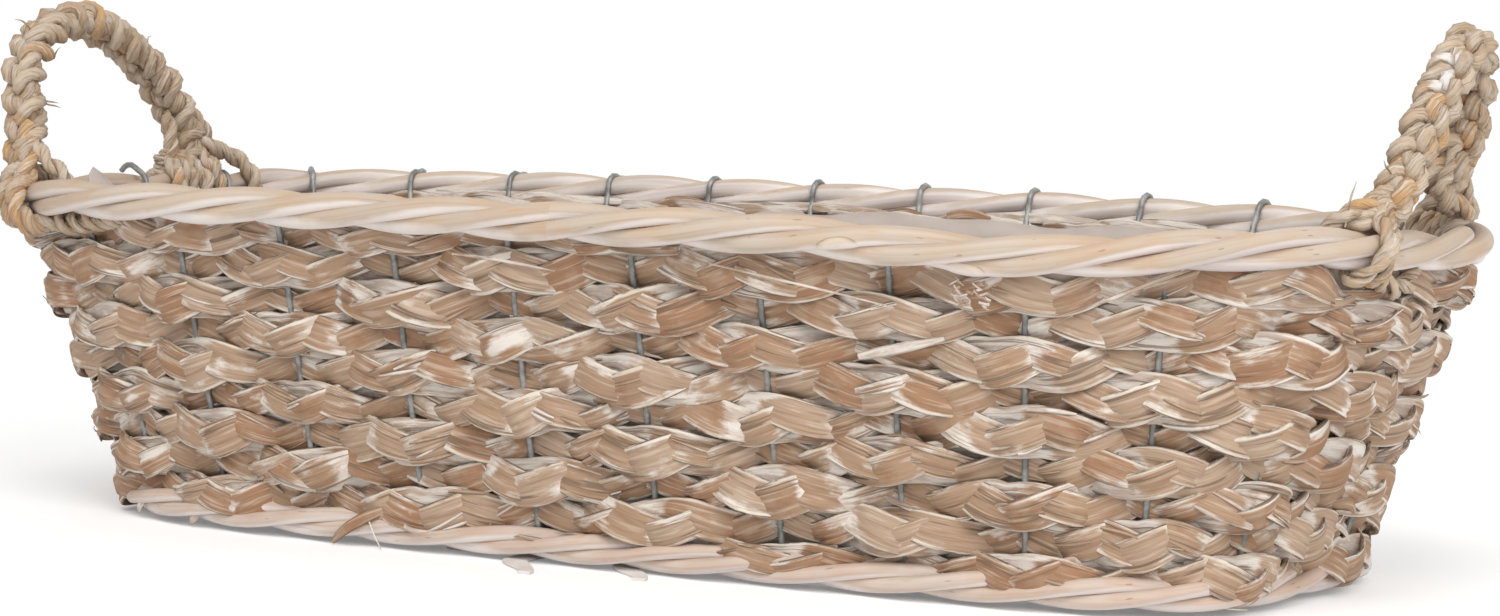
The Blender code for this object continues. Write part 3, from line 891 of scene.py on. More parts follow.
def eased_facets(seed, cycles, low, high):
    """The same, but moving smoothly from one facet to the next while the strand is hidden."""
    facet = np.floor(cycles).astype(int)
    draw = np.random.default_rng(seed)
    values = draw.uniform(low, high, int(facet.max() - facet.min()) + 3)
    here, after = values[facet - facet.min()], values[facet - facet.min() + 1]
    return here + (after - here) * ease((cycles - facet - 0.84) / 0.16)


print("bulge at the left end", LEFT_PUSH * 1000, "mm, at the right end", RIGHT_PUSH * 1000, "mm")

# %% [markdown]
# The three bundles of leaves pass over and under each other. A cloth simulation could lay real leaves,
# but it is slow and hard to steer. So each bundle swings like a strand of a braid, and its section
# changes along the way: broad and creased where it shows, and narrow where it dives under the next.

# %% Path of one strand
FACET_LAG = math.pi / 4
LEAF_TILT = math.radians(15)


def strand_path(seed, number, index, turn, height, size, arc):
    """Centre line of a strand, its section's directions, its count of half swings, and its bulk."""
    angle = 2 * math.pi * (BRAIDS_ROUND * turn + number / 3) + wander(seed + 1, arc, 0.05, 0.34)
    cycles = (angle - FACET_LAG) / math.pi
    point, out, up = wall_frame(turn, height)
    outness = -np.cos(math.pi * index)
    swing = PLAIT_SWING * outness + wander(7, arc, 0.05, 0.0004)
    swing = swing + end_push(out, height) + FOOT_PUSH * ease((0.030 - height) / 0.015)
    bulk = size * (1.17 + 0.03 * outness)
    rise = BRAID_RISE * np.sin(angle + BRAID_LAG) + eased_facets(seed + 2, cycles, -0.0008, 0.0008)
    lift = -BRAID_DEPTH * np.sin(2 * angle) * size ** 0.5 + wander(seed + 3, arc, 0.024, 0.0003)
    centre = point + out * (swing + lift)[:, None] + up * (rise * bulk)[:, None]
    tangent = unit(np.gradient(centre, axis=0))
    normal = turned(out, up, LEAF_TILT * np.sin(angle) + eased_facets(seed + 4, cycles, -0.24, 0.24))
    thick = unit(normal - tangent * np.sum(normal * tangent, axis=1, keepdims=True))
    return centre, np.cross(thick, tangent), thick, cycles, bulk


print("strand path ready")

# %% Section and paint of one strand
LEAF_NARROW, LEAF_BROAD = 0.0034, 0.0061
LEAF_HALF_THICK = 0.0014
LEAF_SIDES = 26
FOLDS, FOLD_WIDTH = 3, 0.15


def leaf_strand(number, index, turn, height, size, arc):
    """One bundle of leaves: what its skin is rolled from, and what the torn strips are laid on."""
    seed = 100 * number
    centre, across, thick, cycles, bulk = strand_path(seed, number, index, turn, height, size, arc)
    facet = np.floor(cycles).astype(int)
    local = cycles - facet
    broad = LEAF_NARROW + (LEAF_BROAD - LEAF_NARROW) * np.sin(math.pi * local) ** 1.1
    wide = broad * bulk * eased_facets(seed + 5, cycles, 0.82, 1.14)
    deep = LEAF_HALF_THICK * size ** 0.5 * eased_facets(seed + 6, cycles, 0.8, 1.25)
    around = angles_round(LEAF_SIDES)
    side, front = np.cos(around), np.sin(around)
    side = np.sign(side) * np.abs(side) ** 0.85
    folds = np.zeros((len(arc), LEAF_SIDES))
    for fold in range(FOLDS):
        crease = eased_facets(seed + 10 + fold, cycles, -0.85, 0.85)[:, None]
        amount = eased_facets(seed + 20 + fold, cycles, -0.0012, 0.0006)[:, None]
        folds += amount * np.exp(-((side[None, :] - crease) / FOLD_WIDTH) ** 2)
    depth = deep[:, None] * (np.sign(front) * np.abs(front) ** 0.62)[None, :] + folds * (front > 0.2)
    middle = by_facet(seed + 40, facet, 0.36, 0.60)
    long = by_facet(seed + 41, facet, 0.16, 0.44)
    rub = 1 - ease((np.abs(local - middle) - long * 0.5) / 0.24)
    numbers = {
        "rub": rub[:, None] * (1 - 0.7 * np.abs(side[None, :]) ** 4),
        "tone": by_facet(seed + 42, facet, 0.0, 1.0)[:, None],
        "edge": np.where(front > -0.3, np.abs(side), 0.0) * np.ones((len(arc), 1)),
    }
    skin = (centre, across, thick, wide[:, None] * side, depth)
    return skin, numbers, (centre, across, thick, wide, deep, local)


print("leaf section ready")

# %% Leaf plait
index, turn, height, size = whole_plait()
arc = lengths_along(wall_point(turn, height), False)
strands = [leaf_strand(number, index, turn, height, size, arc) for number in range(3)]
cuts = [0] + [int(np.searchsorted(turn, lap + 0.5)) for lap in range(COURSES)] + [len(turn) - 1]
for course in range(len(cuts) - 1):
    skins = Skins()
    cut = slice(cuts[course], cuts[course + 1] + 1)
    for number, strand in enumerate(strands):
        skin, numbers = strand[:2]
        skins.roll(*(part[cut] for part in skin), start=float(arc[cuts[course]]) + number,
                   **{name: values[cut] for name, values in numbers.items()})
    skins.finish(f"leaf_plait_lap_{course + 1:02d}", leaf_material, "basket", "leaf_plait", ["wall_plait"])
print("plait", round(float(arc[-1]), 2), "m long")

# %% [markdown]
# Dry leaves split along their edges. Hundreds of narrow torn strips lie along the facets of the plait;
# most of them stay down, and the tip of a few lifts off. Hair could do it, but strips that are placed on
# the strands keep to the direction of the leaf.

# %% Torn strips on the plait
STRIPS, BATCHES = 760, 4
STRIP_HALF_THICK = 0.00018
draw = np.random.default_rng(77)
for batch in range(BATCHES):
    skins = Skins()
    for strip in range(STRIPS // BATCHES):
        centre, across, thick, wide, deep, local = strands[draw.integers(3)][2]
        first = int(draw.integers(20, len(centre) - 40))
        rows = int(draw.integers(4, 12))
        here = slice(first, first + rows)
        if not 0.12 < local[first + rows // 2] < 0.88:
            continue
        along_strip = np.linspace(0, 1, rows)
        side = draw.choice([-1, 1]) * draw.uniform(0.25, 1.0) + draw.uniform(-0.5, 0.5) * along_strip
        side = np.clip(side, -1.02, 1.02)
        lift = draw.uniform(0.0002, 0.0005) + max(draw.normal(0, 0.0012), 0) * along_strip ** 3
        over = np.sqrt(np.clip(1 - side ** 4, 0, 1))
        line = centre[here] + across[here] * (side * wide[here])[:, None]
        line = line + thick[here] * (deep[here] * (0.15 + 0.85 * over) + lift)[:, None]
        narrow = draw.uniform(0.0003, 0.0011) * np.sin(math.pi * (0.12 + 0.76 * along_strip)) ** 0.6
        skins.roll(line, across[here], thick[here], *section(narrow, STRIP_HALF_THICK, 4, rows),
                   start=strip * 0.1, rub=draw.choice([0.2, 0.6, 1.0]), tone=draw.uniform(0, 0.6), edge=0.0)
    skins.finish(f"torn_strips_{batch + 1}", leaf_material, "basket", "leaf_plait", ["wall_plait"])
print("torn strips made")

# %% [markdown]
# A thin cloudy film lines the basket so that wet soil stays in. It is an open tub that follows the wall,
# with a wavy upper edge that sags at the back and is pulled up in a crumpled bit at the left. Cloth could
# be draped, but only the edge shows, and a few waves are enough for it. One sheet gets a small thickness,
# so that it is a closed skin.

# %% Liner film
film = Finish("cloudy_film")
crumple = film.noise(70, 3, 0.6)
film.set(Base_Color=film.mix(crumple, (0.55, 0.47, 0.415), (0.72, 0.63, 0.57)), Roughness=0.32, Alpha=0.72,
         Normal=film.bump(crumple, 0.5, 0.002))

FLOOR_ROD = 0.005
LINER_BOTTOM = CANE_THICKNESS + TOUCH + FLOOR_ROD + TOUCH
LINER_TOP = RIM_HEIGHT - 0.0118
LINER_INSET = 0.0128
LINER_FILM = 0.0003
LINER_PULLED, LINER_PULL, PULL_REACH = 0.788, 0.0165, 0.009
LINER_SAG_FROM, LINER_SAG_TO, LINER_SAG = 0.522, 0.700, 0.0065
LINER_ROUND, LINER_UP = 240, 16
LINER_ORDER = (1.0, 31.0, 977.0)


def liner_tub():
    """Open tub of film with a wavy edge."""
    tub = bmesh.new()
    bmesh.ops.create_grid(tub, x_segments=LINER_ROUND, y_segments=LINER_UP, size=1)
    for vertex in tub.verts:
        share = (vertex.co.x + 1) / 2
        level_up = (vertex.co.y + 1) / 2
        turn = 2 * math.pi * share
        wave = 0.0010 * math.sin(11 * turn) + 0.0008 * math.sin(27 * turn + 1)
        pulled_up = LINER_PULL * math.exp(-((share - LINER_PULLED) / PULL_REACH) ** 2)
        sag = LINER_SAG * ease((share - LINER_SAG_FROM) / 0.02) * ease((LINER_SAG_TO - share) / 0.03)
        height = LINER_BOTTOM + (LINER_TOP + wave + pulled_up - sag - LINER_BOTTOM) * level_up
        ripple = 0.0012 * math.sin(34 * turn + 5 * level_up) * math.sin(math.pi * level_up)
        place = wall_point(share % 1, height, -LINER_INSET - abs(ripple))
        vertex.co = Vector(bowed(place[None, :])[0])
    bmesh.ops.remove_doubles(tub, verts=tub.verts, dist=0.00002)
    rim_edges = [edge for edge in tub.edges if edge.is_boundary]
    lowest = [edge for edge in rim_edges if edge.verts[0].co.z < 0.03]
    bmesh.ops.holes_fill(tub, edges=lowest, sides=0)
    bmesh.ops.recalc_face_normals(tub, faces=tub.faces)
    bmesh.ops.solidify(tub, geom=tub.faces, thickness=LINER_FILM)
    # Solidify leaves its points and faces in an order that differs from run to run, so they are put in order.
    tub.verts.sort(key=lambda vertex: vertex.co.dot(LINER_ORDER))
    tub.faces.sort(key=lambda face: face.calc_center_median().dot(LINER_ORDER))
    for face in tub.faces:
        face.smooth = True
    return dressed(mesh_data("film_liner", tub), film.material, "basket", ["liner"])


liner_tub()
print("liner made")

# %% [markdown]
# The floor is a grid of flat split canes with willow rods on top. The two canes that stick out at the
# front are white with paint and thin out at a slant. A box for each would do, but the same rolled skin
# gives blunt edges and fibres along the cane.

# %% Split canes
cane_finish = Finish("split_cane_white")
fibres = cane_finish.lengthwise(30, 900, 3, 0.6)
cane_colour = cane_finish.layered(
    (0.84, 0.80, 0.77),
    (cane_finish.noise(60), 0.35, 0.7, 1, (0.74, 0.68, 0.64)),
    (fibres, 0.55, 0.75, 0.4, (0.50, 0.43, 0.34)))
cane_finish.set(Base_Color=cane_colour, Roughness=0.6, Normal=cane_finish.bump(fibres, 0.4, 0.0003))

CANES, FLOOR_RODS = 11, 5
CANE_WIDTH = 0.011
POKING_CANES = {4: (-0.009, 0.009), 5: (-0.008, 0.011)}
TIP_LENGTH, TIP_ROOT = 0.015, 0.012
CANE_SHORT = 0.021
for number in range(CANES):
    node = f"floor_cane_{number + 1:02d}"
    low, high = (np.array(corner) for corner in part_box(node))
    poking = number in POKING_CANES
    along_y = np.linspace(low[1] + (0.0 if poking else CANE_SHORT), high[1], 40)
    if poking:
        along_y = np.concatenate([np.linspace(low[1] - TIP_LENGTH, low[1] + TIP_ROOT, 14), along_y[6:]])
    reached = ease((low[1] + TIP_ROOT - along_y) / (TIP_LENGTH + TIP_ROOT))
    aside, tip = POKING_CANES.get(number, (0, 0))
    slant = aside * ease((low[1] + 0.060 - along_y) / 0.045) + (tip - aside) * reached
    middle_x = (low[0] + high[0]) / 2 - CENTRE_SHIFT[0] + wander(430 + number, along_y + 1, 0.05, 0.0005)
    middle_z = np.full(len(along_y), (low[2] + high[2]) / 2)
    points = np.column_stack([middle_x + slant, along_y - CENTRE_SHIFT[1], middle_z])
    wide = CANE_WIDTH / 2 * (1 - 0.5 * reached)
    skins = Skins()
    skins.roll(points, *path_sides(points, (1, 0, 0)),
               *section(wide, CANE_THICKNESS / 2 * 0.98, 12, len(points), (0.5, 0.6)))
    skins.finish(f"split_{node}", cane_finish.material, "basket", "split_cane", [node])
print(CANES, "canes")

# %% Floor rods
ROD_ROWS = 90
for number in range(FLOOR_RODS):
    node = f"floor_rod_{number + 1}"
    low, high = (np.array(corner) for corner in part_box(node))
    middle = (low + high) / 2 - np.append(CENTRE_SHIFT, 0)
    along_x = np.linspace(low[0], high[0], ROD_ROWS) - CENTRE_SHIFT[0]
    sway = wander(400 + number, along_x + 1, 0.12, 0.0006)
    points = np.column_stack([along_x, middle[1] + sway, np.full(ROD_ROWS, middle[2])])
    radius = FLOOR_ROD / 2 * (1 + wander(410 + number, along_x + 1, 0.05, 0.03))
    skins = Skins()
    skins.roll(points, *path_sides(points, UPWARD), *section(radius, radius, 12, ROD_ROWS), wash=0.3,
               knot=0.0)
    skins.finish(f"{node}_willow", base_willow, "basket", "whitewashed_willow", [node])
print(FLOOR_RODS, "floor rods")

# %% [markdown]
# Each ear handle is a three-strand braid of twisted seagrass cord, and each cord is two plies twisted
# together. So a ply's centre is worked out in two steps: where its cord runs in the braid, and where the
# ply turns in the cord. The twist is real shape and not a picture of it, because light falls between the
# plies; the side of each ply that faces the cord's centre is also darkened with painted shade.


# %% Seagrass
def seagrass_finish():
    """Twisted dry grass, straw to tan, with a little paint and painted shade between the plies."""
    grass = Finish("seagrass_cord")
    fine = grass.lengthwise(50, 1000, 3, 0.65, 0.10)
    strips = grass.lengthwise(30, 420, 3, 0.6, 0.10)
    tone = grass.attribute("tone")
    hot = grass.math("ADD", tone, grass.times(strips, 0.6))
    faded = grass.swung(grass.attribute("worn"), strips, 1.2)
    colour = grass.layered(
        (0.56, 0.44, 0.32),
        (tone, 0.2, 0.7, 1, (0.44, 0.31, 0.20)),
        (hot, 1.06, 1.22, 0.85, (0.60, 0.35, 0.16)),
        (grass.noise(120, 3, 0.6), 0.48, 0.62, 0.75, (0.56, 0.47, 0.385)),
        (strips, 0.56, 0.66, 0.6, (0.72, 0.65, 0.57)),
        (fine, 0.52, 0.66, 0.7, (0.22, 0.15, 0.09)),
        (fine, 0.44, 0.32, 0.45, (0.70, 0.60, 0.48)),
        (faded, 0.25, 0.50, 0.85, (0.80, 0.77, 0.73)),
        # Painted shade: the side of each ply that faces the cord's centre, between the plies, is darkened.
        (grass.attribute("rub"), 0.34, 0.08, 0.75, (0.16, 0.105, 0.065)))
    relief = grass.bump(fine, 0.7, 0.0009, grass.bump(strips, 0.8, 0.0018))
    return grass.set(Base_Color=colour, Roughness=0.72, Normal=relief)


seagrass = seagrass_finish()
print("seagrass made")

# %% Plies of a cord along a path
PLY_LAY = 0.019
PLY_SIDES = 14
PLY_CIRCLE, PLY_SIZE = 0.46, 0.60
WORN_SIZE = 0.0075
CORD_STEP = 0.0013


def stepped(seed, places, shortest, longest):
    """Random tone that changes every few centimetres."""
    draw = np.random.default_rng(seed)
    edges = [float(places[0]) - 0.01]
    while edges[-1] < places[-1]:
        edges.append(edges[-1] + draw.uniform(shortest, longest))
    tones = draw.uniform(0, 1, len(edges))
    return tones[np.searchsorted(edges, places) - 1]


def add_cord(skins, centre, guide, radius, seed, plies=2, taper=(0, 0), spots=()):
    """Twist plies round a cord's centre line; a taper is the length over which an end thins out."""
    first, second = path_sides(centre, guide)
    arc = lengths_along(centre, False)
    rows = len(centre)
    ends = np.ones(rows)
    for length, from_end in zip(taper, (arc, arc[-1] - arc)):
        if length:
            ends *= 0.25 + 0.75 * ease(from_end / length)
    around = angles_round(PLY_SIDES)
    for ply in range(plies):
        angle = 2 * math.pi * (arc / PLY_LAY + ply / plies) + wander(seed + ply, arc, 0.02, 0.35)
        size = (1 + wander(seed + 10 + ply, arc, 0.012, 0.12)) * ends
        line = centre + turned(first, second, angle, PLY_CIRCLE * radius * size)
        ridge = 1 + 0.10 * np.cos(3 * around[None, :] + 5 * angle[:, None])
        thick = PLY_SIZE * radius * (size * 1.06)[:, None] * ridge
        # Low on the side of the ply that faces the cord's centre, where the finish paints shade between the
        # plies.
        rub = 0.5 + 0.5 * np.cos(around)[None, :]
        tone = stepped(seed + 20 + ply, arc, 0.03, 0.09)[:, None]
        worn = np.zeros((rows, 1))
        for spot in spots:
            worn = np.maximum(worn, 1 - np.linalg.norm(line - spot, axis=1)[:, None] / WORN_SIZE)
        skins.roll(line, *path_sides(line, turned(first, second, angle)), thick * np.cos(around),
                   thick * np.sin(around), start=seed * 0.37 + ply, rub=rub, tone=tone, worn=worn)


print("cord helper ready")

# %% [markdown]
# A handle's arch lies in a plane that leans outward from the line through its feet. Its shape was read
# from the photograph as places in that plane, in millimetres. In the braid each of the three cords swings
# from side to side and passes over and under the other two.

# %% Arched braid of a handle
HANDLE_LEAN = math.radians(10)
BRAID_HALF_DEPTH = 0.0035
BRAID_PERIOD = 0.036


def rim_foot(gap):
    """Centre of the rim where a handle's foot goes round it, and the direction outward."""
    share = float(gap_share(gap))
    return np.append(RIM_RING.point(share), RIM_Z), np.append(RIM_RING.outward(share), 0)


def handle_plane(gaps):
    """Middle between the feet, and directions from foot to foot, up the leaning arch and out of its plane."""
    feet = [rim_foot(gap)[0] for gap in gaps]
    hinge = unit(feet[1] - feet[0])
    lean_up = UPWARD * math.cos(HANDLE_LEAN) + np.cross(hinge, UPWARD) * math.sin(HANDLE_LEAN)
    return (feet[0] + feet[1]) / 2, hinge, lean_up, np.cross(hinge, lean_up)


def on_plane(plane, places):
    """Points given in millimetres along the hinge, up the lean and out of the handle's plane."""
    return plane[0] + np.array(places) / 1000 @ np.array(plane[1:])


def braid(skins, plane, shape, seed):
    """Three cords along the arch; gives back the arch's centre line."""
    spine = smooth_path(on_plane(plane, shape["line"]), CORD_STEP)
    where = lengths_along(spine, False)
    wide = np.broadcast_to(plane[3], spine.shape)
    inner = np.cross(wide, unit(np.gradient(spine, axis=0)))
    gather = 0.70 + 0.30 * ease(np.minimum(where, where[-1] - where) / 0.022)
    spots = [on_plane(plane, spot) for spot in shape["worn"]]
    for number in range(3):
        angle = 2 * math.pi * (where / BRAID_PERIOD + number / 3) + wander(seed + number, where, 0.03, 0.12)
        side = shape["half_width"] * np.sin(angle) * gather
        lift = -BRAID_HALF_DEPTH * np.sin(2 * angle) * gather
        line = spine + wide * side[:, None] + inner * lift[:, None]
        add_cord(skins, line, wide, shape["radius"], seed + 40 * number + 5, taper=(0.006, 0.006),
                 spots=spots)
    return spine


print("braid helper ready")

# %% [markdown]
# At each foot the cords part. Laces go round the rim and back under it, a few splayed cords leave the
# braid higher up and go over the rim beside the foot, and a thin cord is coiled round the left handle's
# foot. Loose fibres stick out of the braid. Each lace is a row of stops round the rim: degrees from
# outward to up, millimetres along the rim, and millimetres of lift off it.

# %% Laces, splayed cords and coils
CORD_OFF_RIM = 0.92
COIL_CORD, FIBRE = 0.0018, 0.0006


def lace(skins, foot, leg, beside, up_leg, radius, stops, seed):
    """Cord that leaves a leg of the braid and goes round the rim."""
    centre, out = foot
    side_way = np.cross(UPWARD, out)
    row = min(int(up_leg / 1000 / CORD_STEP), len(leg) - 1)
    above = min(row + 3, len(leg) - 1)
    start = [leg[above] + side_way * beside / 1500, leg[row] + side_way * beside / 1000]
    steps = np.linspace(0, len(stops) - 1, 8 * len(stops))
    degrees, along, lift = (np.interp(steps, np.arange(len(stops)), column) for column in np.array(stops).T)
    ring = RIM_RADIUS + CORD_OFF_RIM * radius + lift / 1000
    circle = centre + turned(out, UPWARD, np.radians(degrees), ring) + side_way * (along / 1000)[:, None]
    line = smooth_path(np.concatenate([start, circle]), CORD_STEP)
    add_cord(skins, line, side_way + 0.3 * out, radius, seed, taper=(0, 0.006))


def splay(skins, plane, leg_places, rim_places, radius, seed):
    """Cord that leaves the braid early and goes over the rim at its own shares of a turn."""
    share, degrees, lift = np.array(rim_places).T
    angle = np.radians(degrees)
    ring = RIM_RADIUS + CORD_OFF_RIM * radius + lift / 1000
    flat = RIM_RING.point(share) + RIM_RING.outward(share) * (ring * np.cos(angle))[:, None]
    over = np.column_stack([flat, RIM_Z + ring * np.sin(angle)])
    line = smooth_path(np.concatenate([on_plane(plane, leg_places), over]), CORD_STEP)
    add_cord(skins, line, plane[3], radius, seed, taper=(0.004, 0.006))


def coil(skins, plane, wraps, radius, foot_place, rise, seed):
    """Thin cord wound a few times round a foot."""
    angle = np.linspace(0, 2 * math.pi * wraps, 20 * wraps)
    line = on_plane(plane, foot_place) + turned(plane[1], plane[3], angle, radius)
    line = line + plane[2] * (rise / 1000 * angle / angle[-1])[:, None]
    add_cord(skins, line, plane[2], COIL_CORD, seed, taper=(0.002, 0.002))


def handle(name, gaps, shape, body, seed):
    """Braided arch with its cords laced round the rim at both feet."""
    plane = handle_plane(gaps)
    skins = Skins()
    spine = braid(skins, plane, shape, seed)
    for foot, gap in enumerate(gaps):
        leg = spine[::-1] if foot else spine
        for loop, (beside, up_leg, radius, stops) in enumerate(shape["laces"][foot]):
            lace_seed = seed + 200 + 20 * foot + 3 * loop
            lace(skins, rim_foot(gap), leg, beside, up_leg, radius / 1000, stops, lace_seed)
    for leg_places, rim_places, radius in shape["splays"]:
        splay(skins, plane, leg_places, rim_places, radius / 1000, seed + 330)
    for wraps, radius, foot_place, rise in shape["coils"]:
        coil(skins, plane, wraps, radius, foot_place, rise, seed + 350)
    for number, fibre in enumerate(shape["fibres"]):
        line = smooth_path(on_plane(plane, fibre), 0.001, 2)
        add_cord(skins, line, plane[3], FIBRE, seed + 370 + number, 1, taper=(0, 0.006))
    skins.finish(f"{name}_braid", seagrass, body, "seagrass_braid", [name])
    print(name, "is", round(float(lengths_along(spine, False)[-1]), 3), "m along the arch")


def behind(share):
    """The last stops of a splayed cord, straight down behind the rim."""
    return (share, 150, 0), (share, 200, 0), (share, 240, 0)


print("handle helpers ready")

# %% Left handle
LEFT_SHAPE = {
    "line": ((-57, 10, -2), (-61, 17, -1), (-63.5, 24, 0), (-62, 31, 0), (-57, 39, 0), (-50.5, 47.5, 0),
             (-41.5, 56.5, 0), (-30, 65, 0), (-17, 72, 0), (-3, 76.5, 0), (13, 76.8, 0), (29, 71.5, 0),
             (40.5, 63.5, 0), (46.5, 55.5, 0), (49, 48, 0), (50, 40, 0), (50, 32, 0), (50.5, 24, 1),
             (52, 17, 3), (53, 11, 6)),
    "half_width": 0.0052, "radius": 0.0046,
    "worn": (),
    "laces": (
        ((4, 5, 3.4, ((100, 6, 0), (150, 8, 0), (200, 8, 0), (260, 7, 0), (310, 6, 0))),
         (0, 3, 3.4, ((100, 0, 0), (150, -1, 0), (200, -1, 0), (260, 0, 0), (320, 2, 0))),
         (-4, 6, 3.4, ((110, -7, 0), (160, -9, 0), (210, -9, 0), (270, -8, 0))),
         (-6, 14, 3.0, ((112, -13, 3), (150, -16, 1), (190, -17, 0), (240, -16, 0))),
         (3, 4, 3.4, ((60, 5, 0), (10, 6, 0), (-50, 5, 0), (-100, 3, 0))),
         (-3, 4, 3.4, ((60, -4, 0), (10, -5, 0), (-50, -5, 0), (-100, -3, 0)))),
        ((-4, 17, 4.4, ((60, -4, 0), (20, -5, 0), (-25, -4, 0), (-70, -1, 0), (-110, 2, 0), (-150, 4, 0))),
         (2, 17, 4.4, ((60, 3, 1), (20, 3, 1), (-25, 4, 1), (-70, 6, 1), (-110, 8, 0), (-150, 9, 0))),
         (6, 17, 4.2, ((62, 9, -1), (25, 10.5, -1), (-20, 11.5, -1), (-60, 13, 0), (-105, 16, 0),
                       (-140, 18, 0))),
         (5, 16, 3.4, ((108, 11, 4), (140, 15, 2), (180, 17, 0), (230, 16, 0))),
         (0, 4, 3.6, ((110, -2, 0), (160, -3, 0), (220, -2, 0), (270, 0, 0))))),
    "splays": (
        (((-61, 40, 0), (-65, 32, 0), (-68, 25, -1)),
         ((0.732, 90, 9), (0.727, 92, 8), (0.721, 98, 5), (0.716, 112, 1), (0.7135, 150, 0), (0.713, 195, 0),
          (0.713, 240, 0)), 3.9),
        (((-52, 36, -1), (-50, 26.7, -2), (-49.5, 20, -2), (-48.5, 13, -2)),
         ((0.744, 96, 2), (0.744, 115, 0), *behind(0.744)), 3.3),
        (((-60, 38, 0), (-62.5, 25, -1), (-63.3, 17, -1), (-64, 10, -1)),
         ((0.7355, 96, 2), (0.7355, 115, 0), *behind(0.7355)), 3.4),
        (((-66, 38, -1), (-74, 31, -1), (-80, 24, -1), (-81.7, 16.5, -1)),
         ((0.73, 94, 3), (0.7285, 112, 1), *behind(0.728)), 3.4)),
    "coils": ((5, 0.0040, (-49, 3, 2), 14),),
    "fibres": (((35, 71, 0), (43, 76, 0), (48, 76.5, 0)),
               ((-38, 61, 0), (-45, 68, 0), (-46, 70, 0), (-49, 70.5, 0)),
               ((47, 41, 0), (33, 40, 0), (25, 38, 0)),
               ((47, 42, 0), (34, 41.5, 0), (26, 40, 0)),
               ((41, 61, 0), (32, 59.5, 0), (25, 60, 0), (21, 64, 0), (19, 64.5, 0))),
}
handle("handle_left", LEFT_GAPS, LEFT_SHAPE, "left_handle", 500)

# %% Right handle
RIGHT_SHAPE = {
    "line": ((-50, 11, 0), (-45, 18, 0), (-39, 25, 0), (-33, 33, 0), (-28, 41, 0), (-23.5, 50, 0),
             (-17, 60, 0), (-10, 69, 0), (-1, 76, -0.5), (8, 78.5, -1), (16, 76.5, -2), (23, 69.5, -3),
             (28, 60, -3), (30, 51, -3), (28, 41, -3), (25, 31, -4.5), (23, 21, -6), (26, 12, -7)),
    "half_width": 0.0050, "radius": 0.0044,
    "worn": ((-8.5, 70, 0), (-17, 62.5, 0)),
    "laces": (
        ((-4, 14, 3.2, ((112, -10, 3), (150, -14, 1), (190, -16, 0), (240, -15, 0))),
         (-2, 5, 3.6, ((100, -4, 0), (150, -6, 0), (200, -6, 0), (260, -5, 0))),
         (4, 5, 3.6, ((105, 5, 0), (150, 6, 0), (200, 6, 0), (260, 5, 0))),
         (3, 6, 3.2, ((80, 4, 0), (45, 2, 0), (5, -4, 0), (-40, -9, 0), (-80, -12, 0), (-120, -12, 0))),
         (-3, 4, 3.2, ((70, -1, 0), (30, -3, 0), (-20, -4, 0), (-70, -3, 0), (-120, -1, 0)))),
        ((-2, 8, 3.6, ((106, -12, 1), (150, -12, 0), (190, -12, 0), (240, -12, 0))),
         (0, 6, 3.8, ((100, -4, 0), (150, -4, 0), (200, -4, 0), (260, -4, 0))),
         (2, 8, 3.8, ((100, 4, 0), (145, 4, 0), (195, 4, 0), (250, 4, 0))),
         (3, 10, 3.6, ((98, 12, 1), (130, 12, 0), (180, 12, 0), (240, 12, 0))))),
    "splays": (
        (((26, 40, -3), (17, 28, -2), (5, 20.5, -1)),
         ((0.3112, 82, 6), (0.3147, 94, 3), (0.3167, 114, 1), *behind(0.3170)), 2.9),
        (((28, 38, -3), (25, 26, -3), (21, 18, -4)),
         ((0.3060, 86, 5), (0.3090, 98, 2), (0.3100, 116, 1), *behind(0.3100)), 3.6),
        (((33, 47, -3), (36.5, 37, -3), (39.5, 28, -3), (42, 21, -3)),
         ((0.2918, 92, 1.5), (0.2915, 100, 0), (0.2912, 120, 0), *behind(0.2910)), 3.2)),
    "coils": (),
    "fibres": (((-62, 6.5, -9.3), (-61.8, 15, -9.1), (-60.3, 20, -9.1), (-59.7, 23.7, -9.1)),
               ((-42, 27, -2.1), (-51.5, 31, -2.1), (-55.2, 33.2, -2.1))),
}
handle("handle_right", RIGHT_GAPS, RIGHT_SHAPE, "right_handle", 900)

# %% [markdown]
# The ends of the handles' cords are tucked under the rim and stay there when a handle is tipped. So they
# are pieces of the basket and not of a handle. Each is two cords twisted round each other along a few
# places on the wall.

# %% Tucked cord ends
TUCKED = {
    "left": (((-0.212, 130, 7), (-0.2, 129, 9), (-0.182, 128, 9), (-0.168, 128.5, 9), (-0.156, 129, 8),
              (-0.147, 132, 3)), 0.0044, 700),
    "right": (((0.2235, 134, 8), (0.2262, 128, 9), (0.231, 124.5, 9), (0.237, 124.5, 9), (0.2412, 129, 8),
               (0.2425, 134, 4)), 0.0036, 740),
}
TUCK_LAY, TUCK_CIRCLE = 0.018, 0.0024
TUCK_EASE = 0.005


def places_on_wall(places):
    """Points from shares of a turn, heights in millimetres and millimetres off the wall."""
    share, height, off = (np.array(column, float) for column in zip(*places))
    height = height / 1000
    pushed = end_push(wall_frame(share, height)[1], height)
    pushed = pushed - TUCK_EASE * wall_frame(share, MIDDLE_HEIGHT)[1][:, 0] ** 2
    return wall_point(share, height, off / 1000 + pushed)


for side, (places, radius, seed) in TUCKED.items():
    line = smooth_path(places_on_wall(places), CORD_STEP)
    first, second = path_sides(line, UPWARD)
    skins = Skins()
    for cord in range(2):
        angle = lengths_along(line, False) / TUCK_LAY * 2 * math.pi + math.pi * cord
        shifted = line + turned(first, second, angle, TUCK_CIRCLE)
        add_cord(skins, shifted, UPWARD, radius * 0.62, seed + cord, taper=(0.004, 0.004))
    skins.finish(f"tucked_cord_{side}", seagrass, "basket", "seagrass_braid", [])
print(len(TUCKED), "tucked cord ends")

# %% [markdown]
# A few leaf ends and straws have come loose from the plait. Each is a thin flat strip, given by its half
# width in millimetres, how rubbed it is and its tone, and then by its places: shares of a turn, heights
# in millimetres and millimetres off the wall. They were placed one by one, because each of them shows.

